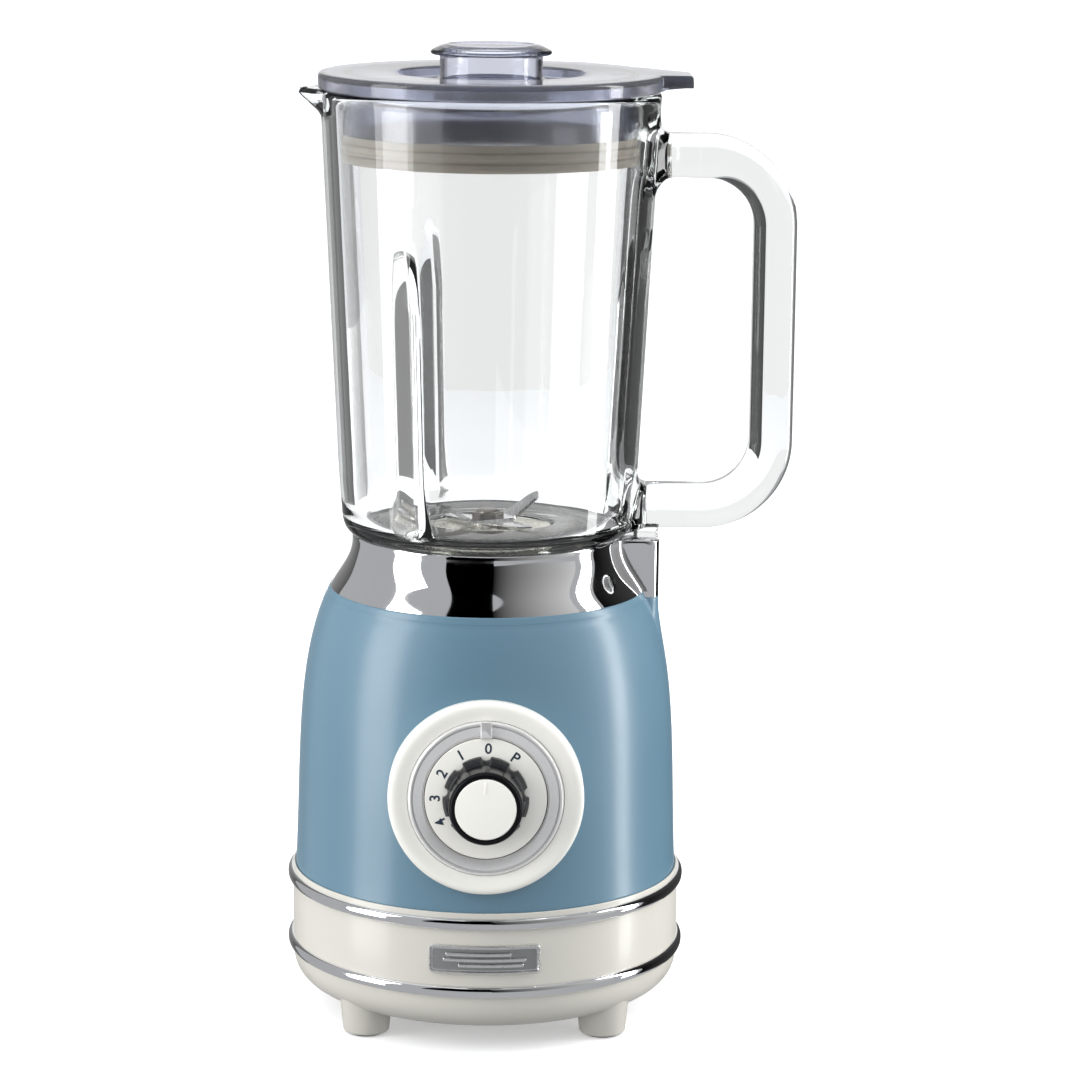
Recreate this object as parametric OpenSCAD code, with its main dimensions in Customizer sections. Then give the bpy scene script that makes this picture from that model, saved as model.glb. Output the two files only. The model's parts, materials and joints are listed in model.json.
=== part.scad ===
// Countertop blender: motor base, glass jug with handle, lid and measuring cap.
// Millimetres. +Z is up, z = 0 is the table, the Z axis is the motor's axis.
// The dial faces -Y, the handle is on +X and the pouring lip on -X.

/* [Base] */
// Outer radius of the cream base band
band_r = 80.6; // [78:0.2:98]
// Height of the pan's flat floor above the table
pan_clear = 9; // [7:0.5:14]
// Height of the upper edge of the pan above its floor
pan_h = 19.2; // [16:0.4:26]
// Height of the cream band with its lip
band_h = 32.8; // [28:0.4:42]
// Wall of the pan and of the band
base_wall = 2.6; // [2:0.2:3.4]
// Radius of a leg where it meets the pan
leg_r = 10.7; // [9:0.1:13]
// Distance of a leg's centre inside the band's outer radius
leg_inset = 13.8; // [13:0.2:18]
// Angle of the front right leg, counted from +X
leg_turn = 43.5; // [35:0.5:55]
// Radius of a rubber foot pad
pad_r = 7.5; // [5:0.1:8.5]
// How far a rubber pad stands out of its leg
pad_stand = 0.8; // [0.5:0.1:2]
// How far the trim rings stand out of the band
trim_out = 2.1; // [1.2:0.1:3]
// Height of a trim ring
trim_h = 5; // [3.5:0.1:6]

/* [Body] */
// Height of the painted body shell
shell_h = 118.8; // [112:0.4:150]
// Wall of the body shell
shell_wall = 1.8; // [1.2:0.1:2.4]
// Height of the polished collar above the shell
collar_h = 22.6; // [20:0.2:30]
// Outer radius of the collar's top edge
neck_r = 56; // [54:0.2:68]
// How much wider the collar is at its foot than at its top
collar_flare = 8.8; // [7:0.2:12]
// Wall of the collar
collar_wall = 1.6; // [1.2:0.1:2.2]
// Reach of the collar's block beyond the collar's top radius
block_reach = 14.5; // [12:0.5:18]
// Half the width of the collar's block
block_half = 13; // [9:0.5:15]

/* [Dial] */
// Height of the dial's centre above the table
dial_z = 108.7; // [102:0.1:125]
// Upward tilt of the dial's axis
dial_tilt = 4; // [0:0.5:8]
// Outer radius of the cream bezel
bezel_r = 39.1; // [36:0.1:42]
// Outer radius of the polished dial ring
dial_ring_r = 31.2; // [28:0.1:33]
// Radius of the numbered disc
disc_r = 24.3; // [21:0.1:26]
// Radius of the knob's notched skirt
skirt_r = 17.2; // [14:0.1:19]
// Length of the knob in front of the disc
knob_len = 21.6; // [14:0.2:28]
// Radius of the knob's cap
cap_disc_r = 12.1; // [8:0.1:13]

/* [Jug] */
// Height of the jar from the collar to its rim
jar_h = 181.6; // [150:0.2:220]
// Outer radius of the jar at its rim
rim_r = 69; // [66:0.1:74]
// Wall of the glass
glass_wall = 7; // [5:0.1:8]
// Thickness of the glass floor
floor_t = 6.5; // [5:0.1:9]
// Reach of the inner ribs from the glass wall
rib_reach = 5.5; // [3:0.1:7]
// Distance from the Z axis to the middle of the grip
grip_x = 115.8; // [108:0.2:130]
// Thickness of the handle, seen from the front
handle_t = 17.5; // [14:0.1:20]
// Depth of the handle, front to back
handle_d = 22; // [16:0.5:28]
// Bend radius of the handle's middle line
handle_bend = 28; // [20:0.5:34]
// Radius of the hole for the blade unit in the glass floor
unit_hole_r = 27; // [24:0.2:32]
// Reach of a blade from the axis
blade_reach = 24.5; // [18:0.1:26]
// Upward bend of the upper blade's arms
blade_lift = 29; // [10:1:45]

/* [Lid] */
// Height of the lid's rim
lid_t = 6.4; // [5:0.1:9]
// Overhang of the lid past the jar's rim
lid_over = 0.9; // [0.5:0.1:2]
// Reach of the lid's tab from the Z axis
tab_reach = 81.3; // [79:0.1:88]
// Radius of the basin round the measuring cap
basin_r = 39.5; // [34:0.1:44]
// Length of the lid's plug below the rim
plug_len = 28; // [22:0.5:34]
// Radius of the measuring cap's flange
cap_flange_r = 24.7; // [22:0.1:28]
// Radius of the measuring cap's neck
cap_neck_r = 20.8; // [16:0.1:21.5]
// Height of the measuring cap above the lid
cap_stand = 11.4; // [9:0.1:16]

/* [Motor] */
// Outer radius of the stator
stator_r = 38; // [34:0.5:40]
// Height of the stator's stack
stack_h = 36; // [28:1:40]
// Outer radius of the rotor
rotor_r = 22; // [18:0.5:23]
// Radius of the rotor's shaft
shaft_r = 4; // [3:0.5:5]
// Outer radius of a ball bearing
bearing_r = 11; // [9.5:0.5:12]
// Height of a ball bearing
bearing_h = 7; // [6:0.5:8]
// Radius of the cooling fan
fan_r = 34; // [28:0.5:37]
// Number of fan blades
fan_blades = 12; // [8:1:16]

/* [Hidden] */
$fn = 72;
loose = 0.3;          // gap between curved faces of parts that move apart
run_fit = 0.05;       // radial gap of a running fit

quarters = [45, 135, 225, 315];           // turns of the four screws of a ring

// Heights, from the table up
pan_z1 = pan_clear + pan_h;               // pan's upper edge, the band's foot
band_z1 = pan_z1 + band_h;                // top of the band's lip
shell_seat_z = band_z1 - 1.2;             // ledge that the shell stands on
shell_z1 = shell_seat_z + shell_h;        // seam of shell and collar
collar_z1 = shell_z1 + collar_h;          // collar's top edge
block_z1 = collar_z1 - 1.4;               // top of the collar's block
block_z0 = shell_z1 - 2.5;                // foot of the collar's block
block_x = neck_r + block_reach;           // outer face of the block
deck_flange_z1 = shell_z1 - 1.6;          // deck flange under the shell's top lip
deck_floor_z = collar_z1 - 18.4;          // floor that the jug stands on
well_z = deck_floor_z - 17;               // floor of the coupling well
deck_t = 2.4;
seat_r = neck_r - collar_wall - 3.2;      // inner radius of the jug seat
deck_flange_r = neck_r + collar_flare - 2.8;

// Motor heights, from the deck down
post_foot_z = deck_floor_z - 23;          // foot of the deck's motor posts
mount_h = 10;                             // rubber mount
ear_z1 = post_foot_z - mount_h;           // top of the upper bracket's ears
bracket_t = 4;
ear_z0 = ear_z1 - bracket_t;
winding_h = 8;                            // winding head beyond the stack
stack_z1 = ear_z0 - winding_h - 6;
stack_z0 = stack_z1 - stack_h;
lower_plate_z1 = stack_z0 - 32;           // top of the lower bracket's plate
lower_plate_z0 = lower_plate_z1 - bracket_t;
commutator_z = lower_plate_z1 + 6;
commutator_r = 12.5;
commutator_h = 15;
bolt_ring = stator_r - 3.5;               // through bolts' radius from the axis
bolt_r = 2;
ear_ring = 45;                            // motor screws' radius from the axis
screw_r = 1.6;
mount_r = 6.5;
fan_z1 = lower_plate_z0 - 14;             // top of the fan's disc
fan_h = 11;

// Tie posts between deck and pan
tie_ring = 54;
tie_angles = [20, 160, 200, 340];
tie_post_r = 4.5;
tie_z = pan_clear + 25;                   // foot of the posts, top of the pan's bosses
tie_screw_r = 2;
tie_step_z = pan_clear + 15;              // step that the screw heads press on
collar_screw_ring = neck_r + 2.2;

// Jug heights and radii
rim_z = collar_z1 + jar_h;
shoulder_z = collar_z1 + loose;           // underside of the jar's shoulder
floor_z = shoulder_z + 3.8;               // glass floor inside the jar
glass_under_z = floor_z - floor_t;
jar_foot_r = neck_r + 4.3;                // jar's radius above its rounded foot
wall_z0 = shoulder_z + 24;
wall_r0 = neck_r + 5.5;
nut_t = 3;
neck_in_r = 41;                           // glass neck under the floor
neck_out_r = 46;
neck_z0 = deck_floor_z + nut_t;
flange_t = 3;                             // flange of the blade unit
gasket_t = 1;
unit_flange_r = neck_in_r - 3;
unit_top_z = floor_z - 1.5;
hub_z = unit_top_z + 1;                   // top of the blade unit's hub
washer_t = 0.6;
blade_t = 1.2;
lower_blade_z = hub_z + washer_t;
upper_blade_z = lower_blade_z + blade_t;
nut_z = upper_blade_z + blade_t;
bushing_r = 7;
rib_turns = [237, 357, 117];

// Couplings in the well
coupling_hub_z = well_z + 1.5;
star_z0 = coupling_hub_z + 4;
star_h = 11;
star_out = 9;
star_in = 6.6;
star_points = 6;
star_fit = 0.35;
cup_z0 = star_z0 + 1;
cup_z1 = cup_z0 + 14.5;

// Handle heights
handle_top_z = rim_z - 26;
handle_low_z = collar_z1 + 11.6;
nub_z = block_z1 + 0.4;

// Lid heights and radii
lid_z0 = rim_z + loose;
lid_z1 = lid_z0 + lid_t;
lid_r = rim_r + lid_over;
lid_wall = 2.5;
basin_z = lid_z1 - 4;                     // basin's floor
plug_z0 = rim_z - plug_len;
seal_z1 = plug_z0 + 11;
cap_hole_r = cap_neck_r + 0.4;
cap_flange_z = lid_z1 + cap_stand - 4.1;

// Interlock
pin_r = 2;
pin_x = neck_r + 9.5;
pin_z1 = nub_z - 0.05;
switch_z1 = shell_z1 - 14;
pin_z0 = switch_z1 + 2;

// Shapes of the outer walls ------------------------------------------------

function mix(a, b, t) = a + (b - a) * t;
function bezier(p, t) = pow(1 - t, 3) * p[0] + 3 * pow(1 - t, 2) * t * p[1]
    + 3 * (1 - t) * t * t * p[2] + pow(t, 3) * p[3];
function curve(p, n) = [for (i = [0 : n]) bezier(p, i / n)];

// Half outline with a point added under its foot, so that a cut opens the foot
function from_below(line) = concat([[line[0][0], line[0][1] - 1]], line);

// Half outline of the shell's outside, moved inwards by a wall
function shell_line(wall) = let (
        r0 = band_r - 1.2 - wall,
        r1 = neck_r + collar_flare + 0.4 - wall)
    curve([[r0, shell_seat_z],
        [r0 - 2.4, shell_seat_z + 0.42 * shell_h],
        [r0 + 0.4, shell_seat_z + 0.745 * shell_h],
        [r1, shell_z1]], 12);

// Outer radius of the shell at a height
function shell_r_in(line, z, i = 0) = line[i + 1][1] >= z
    ? mix(line[i][0], line[i + 1][0], (z - line[i][1]) / (line[i + 1][1] - line[i][1]))
    : shell_r_in(line, z, i + 1);
function shell_r(z) = shell_r_in(shell_line(0), z);

// Half outline of the collar's outside, moved inwards by a wall
function collar_line(wall) = concat(
    curve([[neck_r + collar_flare - wall, shell_z1],
        [neck_r + 5 - wall, shell_z1 + 0.31 * collar_h],
        [neck_r - wall, shell_z1 + 0.52 * collar_h],
        [neck_r - wall, shell_z1 + 0.86 * collar_h]], 10),
    [[neck_r - wall, collar_z1]]);

// Half outline of the pan, moved inwards by a wall
function pan_line(wall) = concat(
    [[0, pan_clear + wall]],
    curve([[band_r - 28, pan_clear + wall],
        [band_r - 9 - wall, pan_clear + wall],
        [band_r - wall, pan_clear + 3 + wall],
        [band_r - wall, pan_z1 - 3]], 10),
    [[band_r - wall, pan_z1]]);

// Outer radius of the glass at a height on its straight wall
function jar_r(z) = mix(wall_r0, rim_r - 0.3, (z - wall_z0) / (rim_z - 9 - wall_z0));
function jar_in_r(z) = jar_r(z) - glass_wall;

// Helpers -------------------------------------------------------------------

module ring(r_in, r_out, z0, z1) {
    rotate_extrude() translate([r_in, z0]) square([r_out - r_in, z1 - z0]);
}

module rod(r, z0, z1) {
    translate([0, 0, z0]) cylinder(r = r, h = z1 - z0);
}

// Solid of revolution between the axis and a half outline
module turned(line) {
    rotate_extrude() polygon(concat([[0, line[0][1]]], line, [[0, line[len(line) - 1][1]]]));
}

module around(radius, angles) {
    for (a = angles) rotate([0, 0, a]) translate([radius, 0, 0]) children();
}

// Rectangle with round corners, centred
module round_rect(w, h, r) {
    square([w - 2 * r, h], center = true);
    square([w, h - 2 * r], center = true);
    for (x = [-1, 1], y = [-1, 1]) translate([x * (w / 2 - r), y * (h / 2 - r)]) circle(r, $fn = 32);
}

// Puts a child drawn along +Z on the dial's axis, with z = 0 on the bezel's seat
dial_out = shell_r(dial_z) + 0.6;
module on_dial() {
    translate([0, -dial_out, dial_z]) rotate([90 - dial_tilt, 0, 0]) children();
}

module at_legs() {
    for (a = [leg_turn, 180 - leg_turn, 180 + leg_turn, -leg_turn])
        rotate([0, 0, a]) translate([band_r - leg_inset, 0, 0]) children();
}

// Plan of the collar's block, shared by the collar and the shell's bump
module block_plan(wall) {
    translate([neck_r - 12, 0]) {
        translate([(block_x - neck_r + 12 - wall) / 2, 0])
            round_rect(block_x - neck_r + 12 - wall, 2 * (block_half - wall), 5 - wall);
    }
}

// Base ------------------------------------------------------------------------

module base_pan() color([0.89, 0.88, 0.85]) difference() {
    union() {
        difference() {
            union() {
                turned(pan_line(0));
                at_legs() translate([0, 0, pad_stand]) cylinder(r1 = leg_r - 1.4, r2 = leg_r, h = 16);
            }
            turned(concat(pan_line(base_wall), [[band_r - base_wall, pan_z1 + 1]]));
        }
        around(tie_ring, tie_angles) rod(tie_post_r + 2, pan_clear + 1, tie_z);
        ring(fan_r + 7, fan_r + 9, pan_clear + 1, pan_clear + base_wall + 4);
    }
    at_legs() rod(pad_r, 0, 3);
    around(tie_ring, tie_angles) {
        rod(4.3, pan_clear - 1, tie_step_z);
        rod(tie_screw_r + 0.3, tie_step_z - 1, tie_z + 1);
    }
    for (i = [0 : 15]) rotate([0, 0, i * 22.5])
        translate([12, -1.5, pan_clear - 1]) cube([19, 3, base_wall + 2]);
    trim_groove(pan_z1);
}

module foot_pads() color([0.2, 0.2, 0.2]) at_legs() rod(pad_r, 0, 3);

module base_band() color([0.9, 0.89, 0.86]) difference() {
    union() {
        ring(band_r - base_wall, band_r, pan_z1, shell_seat_z);
        ring(band_r - 0.9, band_r, shell_seat_z - 1, band_z1);
        ring(band_r - 6, band_r - 1, shell_seat_z - 2, shell_seat_z);
    }
    trim_groove(pan_z1);
    trim_groove(band_z1 - trim_h / 2 - 2);
    translate([0, 0, gland_z]) rotate([-90, 0, 0]) cylinder(r = gland_r, h = band_r + 5);
}

trim_sink = 0.8;
module trim_groove(z) {
    ring(band_r - trim_sink, band_r + 5, z - trim_h / 2, z + trim_h / 2);
}

module lower_trim_ring() color([0.8, 0.8, 0.82]) trim_strip(pan_z1);
module upper_trim_ring() color([0.8, 0.8, 0.82]) trim_strip(band_z1 - trim_h / 2 - 2);

// Half-round polished strip in a groove of the band
module trim_strip(z) {
    r0 = band_r - trim_sink;
    r1 = band_r + trim_out;
    rotate_extrude() polygon(concat([[r0, z - trim_h / 2], [r0 + 1.2, z - trim_h / 2]],
        [for (a = [-75 : 15 : 75]) [r1 - 1.7 + 1.7 * cos(a), z + (trim_h / 2) * sin(a)]],
        [[r0 + 1.2, z + trim_h / 2], [r0, z + trim_h / 2]]));
}

badge_w = 45;
badge_h = 11.8;
badge_z = (pan_z1 + band_z1) / 2 - 2.6;
module badge_plate() color([0.55, 0.55, 0.57]) difference() {
    badge_slab(badge_w, badge_h, band_r, band_r + 1.8);
    badge_slab(badge_w - 3, badge_h - 3, band_r + 1, band_r + 3);
}

// Curved slab that lies on the band
module badge_slab(w, h, r_in, r_out) {
    intersection() {
        ring(r_in, r_out, badge_z - h, badge_z + h);
        translate([0, 0, badge_z]) rotate([90, 0, 0]) linear_extrude(r_out + 5) round_rect(w, h, 2);
    }
}

module body_shell() color([0.4, 0.52, 0.6]) difference() {
    union() {
        turned(shell_line(0));
        translate([0, 0, shell_z1 - 26]) linear_extrude(block_z0 - shell_z1 + 26) block_plan(0);
    }
    difference() {
        turned(from_below(shell_line(shell_wall)));
        ring(neck_r - 0.5, band_r, deck_flange_z1, shell_z1 + 1);
    }
    rod(neck_r - 0.5, shell_z1 - 5, shell_z1 + 1);
    translate([0, 0, shell_z1 - 40]) linear_extrude(45) block_plan(shell_wall);
    difference() {
        translate([0, 0, block_z0]) linear_extrude(10) block_plan(-3);
        rod(neck_r + collar_flare - 1.2, block_z0 - 1, block_z0 + 12);
    }
    on_dial() rod(dial_ring_r + 0.4, -22, 8);
    around(collar_screw_ring, quarters) rod(screw_r + 0.4, deck_flange_z1 - 1, shell_z1 + 1);
}

module chrome_collar() color([0.82, 0.82, 0.84]) difference() {
    union() {
        turned(collar_line(0));
        translate([0, 0, block_z0]) linear_extrude(block_z1 - block_z0) block_plan(0);
    }
    difference() {
        turned(from_below(collar_line(collar_wall)));
        ring(neck_r - 0.5, band_r, shell_z1, shell_z1 + 2);
        around(collar_screw_ring, quarters) rod(3.2, shell_z1, shell_z1 + 9);
    }
    rod(neck_r - 0.5, shell_z1 - 5, shell_z1 + 3);
    translate([0, 0, block_z0 - 1]) linear_extrude(block_z1 - 2 - block_z0 + 1) block_plan(2);
    rod(neck_r + collar_flare - 1.2, block_z0 - 1, shell_z1);
    rod(seat_r + 2.4, shell_z1 - 5, collar_z1 + 1);
    around(collar_screw_ring, quarters) rod(screw_r, shell_z1 - 1, shell_z1 + 7);
    translate([pin_x, 0, block_z1 - 5]) cylinder(r = pin_r + loose, h = 8);
}

module jug_seat() color([0.16, 0.16, 0.17]) difference() {
    union() {
        ring(seat_r, seat_r + 2, deck_flange_z1 - deck_t, collar_z1 - 2);
        ring(deck_hole_r, deck_flange_r, deck_flange_z1 - deck_t, deck_flange_z1);
        ring(28, seat_r + 1, deck_floor_z - 2, deck_floor_z);
        ring(28, 30, well_z - 2, deck_floor_z);
        ring(shaft_r + 2, 30, well_z - 2, well_z);
        around(ear_ring, quarters) rod(5, post_foot_z, deck_floor_z - 1);
        around(tie_ring, tie_angles) rod(tie_post_r, tie_z, deck_flange_z1 - 1);
        // Hanger of the interlock switch
        translate([pin_x - 7.5, -9, switch_z1 - 12])
            cube([2.5, 18, deck_flange_z1 - switch_z1 + 11]);
        // Hanger of the control board
        translate([-12, board_y - 2, board_z1 - 12])
            cube([24, 2, deck_flange_z1 - board_z1 + 11]);
    }
    around(ear_ring, quarters) rod(screw_r, post_foot_z - 1, post_foot_z + 13);
    around(tie_ring, tie_angles) rod(tie_screw_r, tie_z - 1, tie_z + 20);
    around(collar_screw_ring, quarters) rod(screw_r + 0.4, deck_flange_z1 - 5, deck_flange_z1 + 1);
}

module tie_screws() color([0.7, 0.7, 0.72]) around(tie_ring, tie_angles) {
    rod(4, tie_step_z - 2.6, tie_step_z);
    rod(tie_screw_r, tie_step_z - 1, tie_z + 18);
}

module collar_screws() color([0.7, 0.7, 0.72]) around(collar_screw_ring, quarters) {
    rod(3, deck_flange_z1 - deck_t - 2, deck_flange_z1 - deck_t);
    rod(screw_r, deck_flange_z1 - deck_t - 1, shell_z1 + 6.5);
}

// Dial -------------------------------------------------------------------------

plate_w = 1;                              // front of the bezel's inner plate
module dial_bezel() color([0.9, 0.89, 0.87]) union() {
    difference() {
        on_dial() rotate_extrude() polygon(concat(
            [[dial_ring_r - 0.3, -14], [bezel_r, -14], [bezel_r, 1.4]],
            curve([[bezel_r, 1.4], [bezel_r - 0.4, 3.2], [bezel_r - 1.6, 3.6], [bezel_r - 3, 3.7]], 5),
            curve([[bezel_r - 3, 3.7], [bezel_r - 5, 3.6], [dial_ring_r + 2, 2.6], [dial_ring_r + 0.1, 2.2]], 5),
            [[dial_ring_r + 0.1, plate_w], [dial_ring_r - 0.3, plate_w]]));
        turned(shell_line(0));
    }
    on_dial() ring(5, dial_ring_r + 0.1, plate_w - 3, plate_w);
}

module dial_ring() color([0.8, 0.8, 0.82]) on_dial() union() {
    rotate_extrude() polygon([[disc_r + loose, plate_w], [dial_ring_r, plate_w], [dial_ring_r, plate_w + 2],
        [dial_ring_r - 1.4, plate_w + 3.4], [dial_ring_r - 3.4, plate_w + 2.8],
        [disc_r + 0.9, plate_w + 2.4], [disc_r + loose, plate_w + 2]]);
    translate([-2.2, disc_r + loose, plate_w]) cube([4.4, dial_ring_r - disc_r - loose - 0.2, 4.2]);
}

module rotary_switch() color([0.25, 0.25, 0.27]) on_dial() difference() {
    union() {
        translate([-15, -15, plate_w - 3 - 22]) cube([30, 30, 22]);
        rod(5, plate_w - 4, plate_w - 0.4);
        for (x = [-9, 0, 9]) translate([x - 2, -19, plate_w - 18]) cube([4, 5, 0.8]);
    }
    rod(spindle_r + run_fit, plate_w - 15, plate_w + 2);
}

spindle_r = 3;
disc_w = plate_w + 0.5;                   // back of the numbered disc
knob_w = disc_w + 2;                      // back of the knob
knob_w1 = knob_w + knob_len;              // front of the knob
module knob_spindle() color([0.75, 0.75, 0.77]) on_dial() rod(spindle_r, plate_w - 14, knob_w1 - 6);

module dial_disc() color([0.88, 0.87, 0.84]) on_dial()
    ring(spindle_r, disc_r, disc_w, knob_w);

module knob() color([0.03, 0.03, 0.03]) on_dial() difference() {
    rotate_extrude() polygon([[spindle_r, knob_w], [skirt_r, knob_w], [skirt_r, knob_w + 3.6],
        [skirt_r - 1.2, knob_w + 6], [skirt_r - 1.6, knob_w + 8], [skirt_r - 2.6, knob_w1 - 1.4],
        [skirt_r - 3.6, knob_w1], [cap_disc_r, knob_w1], [cap_disc_r, knob_w1 - 1.6],
        [spindle_r, knob_w1 - 1.6]]);
    for (i = [0 : 8]) rotate([0, 0, 90 + i * 40])
        translate([skirt_r + 0.6, 0, knob_w - 1]) cylinder(r = 2.2, h = 9, $fn = 32);
    rod(spindle_r + 2, knob_w1 - 5, knob_w1 - 1);
}

module knob_cap() color([0.88, 0.87, 0.84]) on_dial() union() {
    rod(cap_disc_r, knob_w1 - 1.6, knob_w1 + 0.2);
    translate([-0.5, cap_disc_r * 0.5, knob_w1]) cube([1, cap_disc_r * 0.42, 0.5]);
}

// Electrics ---------------------------------------------------------------------

board_y = 57;
deck_hole_r = min(seat_r, tie_ring - 2.8, board_y - 5.8); // deck flange reaches over posts and hanger
board_z1 = dial_z + 22;
module control_board() color([0.1, 0.35, 0.2]) union() {
    translate([-24, board_y, board_z1 - 50]) cube([48, 1.6, 50]);
    translate([-20, board_y + 1, board_z1 - 46]) cube([12, 7, 10]);
    translate([10, board_y + 1, board_z1 - 20]) cube([8, 5, 12]);
}

module suppression_capacitor() color([0.75, 0.65, 0.2])
    translate([-4, board_y + 1.6, board_z1 - 46]) cube([24, 9, 15]);

module interlock_switch() color([0.1, 0.1, 0.1]) union() {
    translate([pin_x - 5, -10, switch_z1 - 12]) cube([7.5, 20, 12]);
    translate([pin_x, 0, 0]) rod(1.2, switch_z1 - 1, pin_z0 - 0.2);
}

module interlock_pin() color([0.85, 0.85, 0.83]) translate([pin_x, 0, 0]) {
    rod(pin_r, pin_z0, pin_z1);
    rod(pin_r + 0.6, block_z1 - 12, block_z1 - 9);
}

gland_z = badge_z;
gland_r = 6.5;
gland_bore_r = 3.5;
module cord_gland() color([0.15, 0.15, 0.15]) translate([0, 0, gland_z]) rotate([-90, 0, 0]) difference() {
    union() {
        rod(gland_r, band_r - 10, band_r);
        rod(gland_r + 2, band_r - 10, band_r - 6);
        intersection() {
            rod(gland_r + 2.5, band_r - 2, band_r + 2);
            rotate([90, 0, 0]) ring(band_r, band_r + 4, -12, 12);
        }
        rod(gland_r, band_r - 1, band_r + 1.5);
    }
    rod(gland_bore_r, band_r - 12, band_r + 4);
}

// Motor ----------------------------------------------------------------------------

module fan_shroud() color([0.2, 0.2, 0.21]) union() {
    ring(fan_r + 5, fan_r + 7, pan_clear + base_wall, lower_plate_z0 - 5);
    ring(fan_r - 10, fan_r + 7, lower_plate_z0 - 7, lower_plate_z0 - 5);
}

module windows(r0, r1, z0, z1) {
    for (a = [0 : 90 : 270]) rotate([0, 0, a]) intersection() {
        ring(r0, r1, z0, z1);
        translate([0, 0, z0 - 1]) linear_extrude(z1 - z0 + 2) polygon([[0, 0], [60, -30], [60, 30]]);
    }
}

bolt_turns = [45, 225];
module motor_upper_bracket() color([0.66, 0.67, 0.69]) difference() {
    union() {
        rod(stator_r, ear_z0, ear_z1);
        rod(bearing_r + 3, ear_z0, ear_z0 + bearing_h + 3);
        around(ear_ring, quarters) rod(mount_r, ear_z0, ear_z1);
        around(bolt_ring, bolt_turns) rod(3.4, stack_z1, ear_z1);
    }
    windows(bearing_r + 4, stator_r - 7, ear_z0 - 1, ear_z1 + 1);
    rod(bearing_r, ear_z0 - 1, ear_z0 + bearing_h + 1);
    rod(shaft_r + 2, ear_z0, ear_z1 + 20);
    around(ear_ring, quarters) rod(screw_r + 0.4, ear_z0 - 1, ear_z1 + 1);
    around(bolt_ring, bolt_turns) rod(bolt_r, stack_z1 - 1, ear_z1 + 1);
}

module motor_lower_bracket() color([0.66, 0.67, 0.69]) difference() {
    union() {
        difference() {
            rod(stator_r, lower_plate_z0, lower_plate_z1);
            windows(bearing_r + 4, stator_r - 7, lower_plate_z0 - 1, lower_plate_z1 + 1);
        }
        rod(bearing_r + 3, lower_plate_z0 - 2, lower_plate_z1 + 1);
        around(bolt_ring, bolt_turns) rod(3.4, lower_plate_z0, stack_z0);
        // Posts of the brush holders
        for (s = [0, 180]) rotate([0, 0, s])
            translate([stator_r - 10, -4, lower_plate_z0]) cube([7, 8, holder_z - lower_plate_z0]);
    }
    rod(bearing_r, lower_plate_z0 - 2 - 1, lower_plate_z1 - 1);
    rod(shaft_r + 2, lower_plate_z0, lower_plate_z1 + 4);
    around(bolt_ring, bolt_turns) rod(bolt_r, lower_plate_z0 - 1, stack_z0 + 1);
}

module bearing(z) {
    ring(shaft_r + run_fit, bearing_r, z, z + bearing_h);
}
module upper_bearing() color([0.75, 0.75, 0.77]) bearing(ear_z0 + 1);
module lower_bearing() color([0.75, 0.75, 0.77]) bearing(lower_plate_z1 - 1 - bearing_h);

yoke_t = 7;
air_gap = 0.5;
module sector(r, half_angle) {
    polygon([[0, 0], for (i = [-4 : 4]) [r * sin(i * half_angle / 4), r * cos(i * half_angle / 4)]]);
}

module stator_core() color([0.45, 0.45, 0.47]) translate([0, 0, stack_z0]) linear_extrude(stack_h) difference() {
    union() {
        difference() {
            circle(stator_r);
            circle(stator_r - yoke_t);
        }
        for (s = [0, 180]) rotate(s) intersection() {
            circle(stator_r - 1);
            union() {
                translate([-pole_half, rotor_r]) square([2 * pole_half, stator_r - rotor_r - 3]);
                intersection() {
                    circle(rotor_r + 4);
                    sector(2 * stator_r, 60);
                }
            }
        }
    }
    circle(rotor_r + air_gap);
    for (a = bolt_turns) rotate(a) translate([bolt_ring, 0]) circle(bolt_r);
}
pole_half = 15;

coil_in = rotor_r + 4.2;
coil_out = stator_r - yoke_t;
module field_coils() color([0.72, 0.38, 0.2]) for (s = [0, 180]) rotate([0, 0, s]) difference() {
    translate([0, 0, stack_z0 - winding_h]) linear_extrude(stack_h + 2 * winding_h) intersection() {
        difference() {
            circle(coil_out);
            circle(coil_in);
        }
        sector(2 * stator_r, 78);
    }
    translate([-pole_half - 0.3, 0, stack_z0 - 0.3]) cube([2 * pole_half + 0.6, 60, stack_h + 0.6]);
}

module through_bolts() color([0.7, 0.7, 0.72]) around(bolt_ring, bolt_turns) {
    rod(3.4, lower_plate_z0 - 3, lower_plate_z0);
    rod(bolt_r, lower_plate_z0 - 1, ear_z1);
}

holder_z = commutator_z + 1;
brush_w = 6;
brush_h = 9;
holder_wall = 1.5;
module brush_holders() color([0.6, 0.5, 0.3]) for (s = [0, 180]) rotate([0, 0, s]) difference() {
    translate([commutator_r + 1.5, -brush_w / 2 - holder_wall, holder_z])
        cube([stator_r - commutator_r - 4, brush_w + 2 * holder_wall, brush_h + 2 * holder_wall]);
    translate([commutator_r, -brush_w / 2, holder_z + holder_wall])
        cube([stator_r - commutator_r - 4, brush_w, brush_h]);
}

brush_len = 11;
module carbon_brushes() color([0.15, 0.15, 0.16]) for (s = [0, 180]) rotate([0, 0, s])
    translate([commutator_r + 0.1, -brush_w / 2, holder_z + holder_wall]) cube([brush_len, brush_w, brush_h]);

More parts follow.
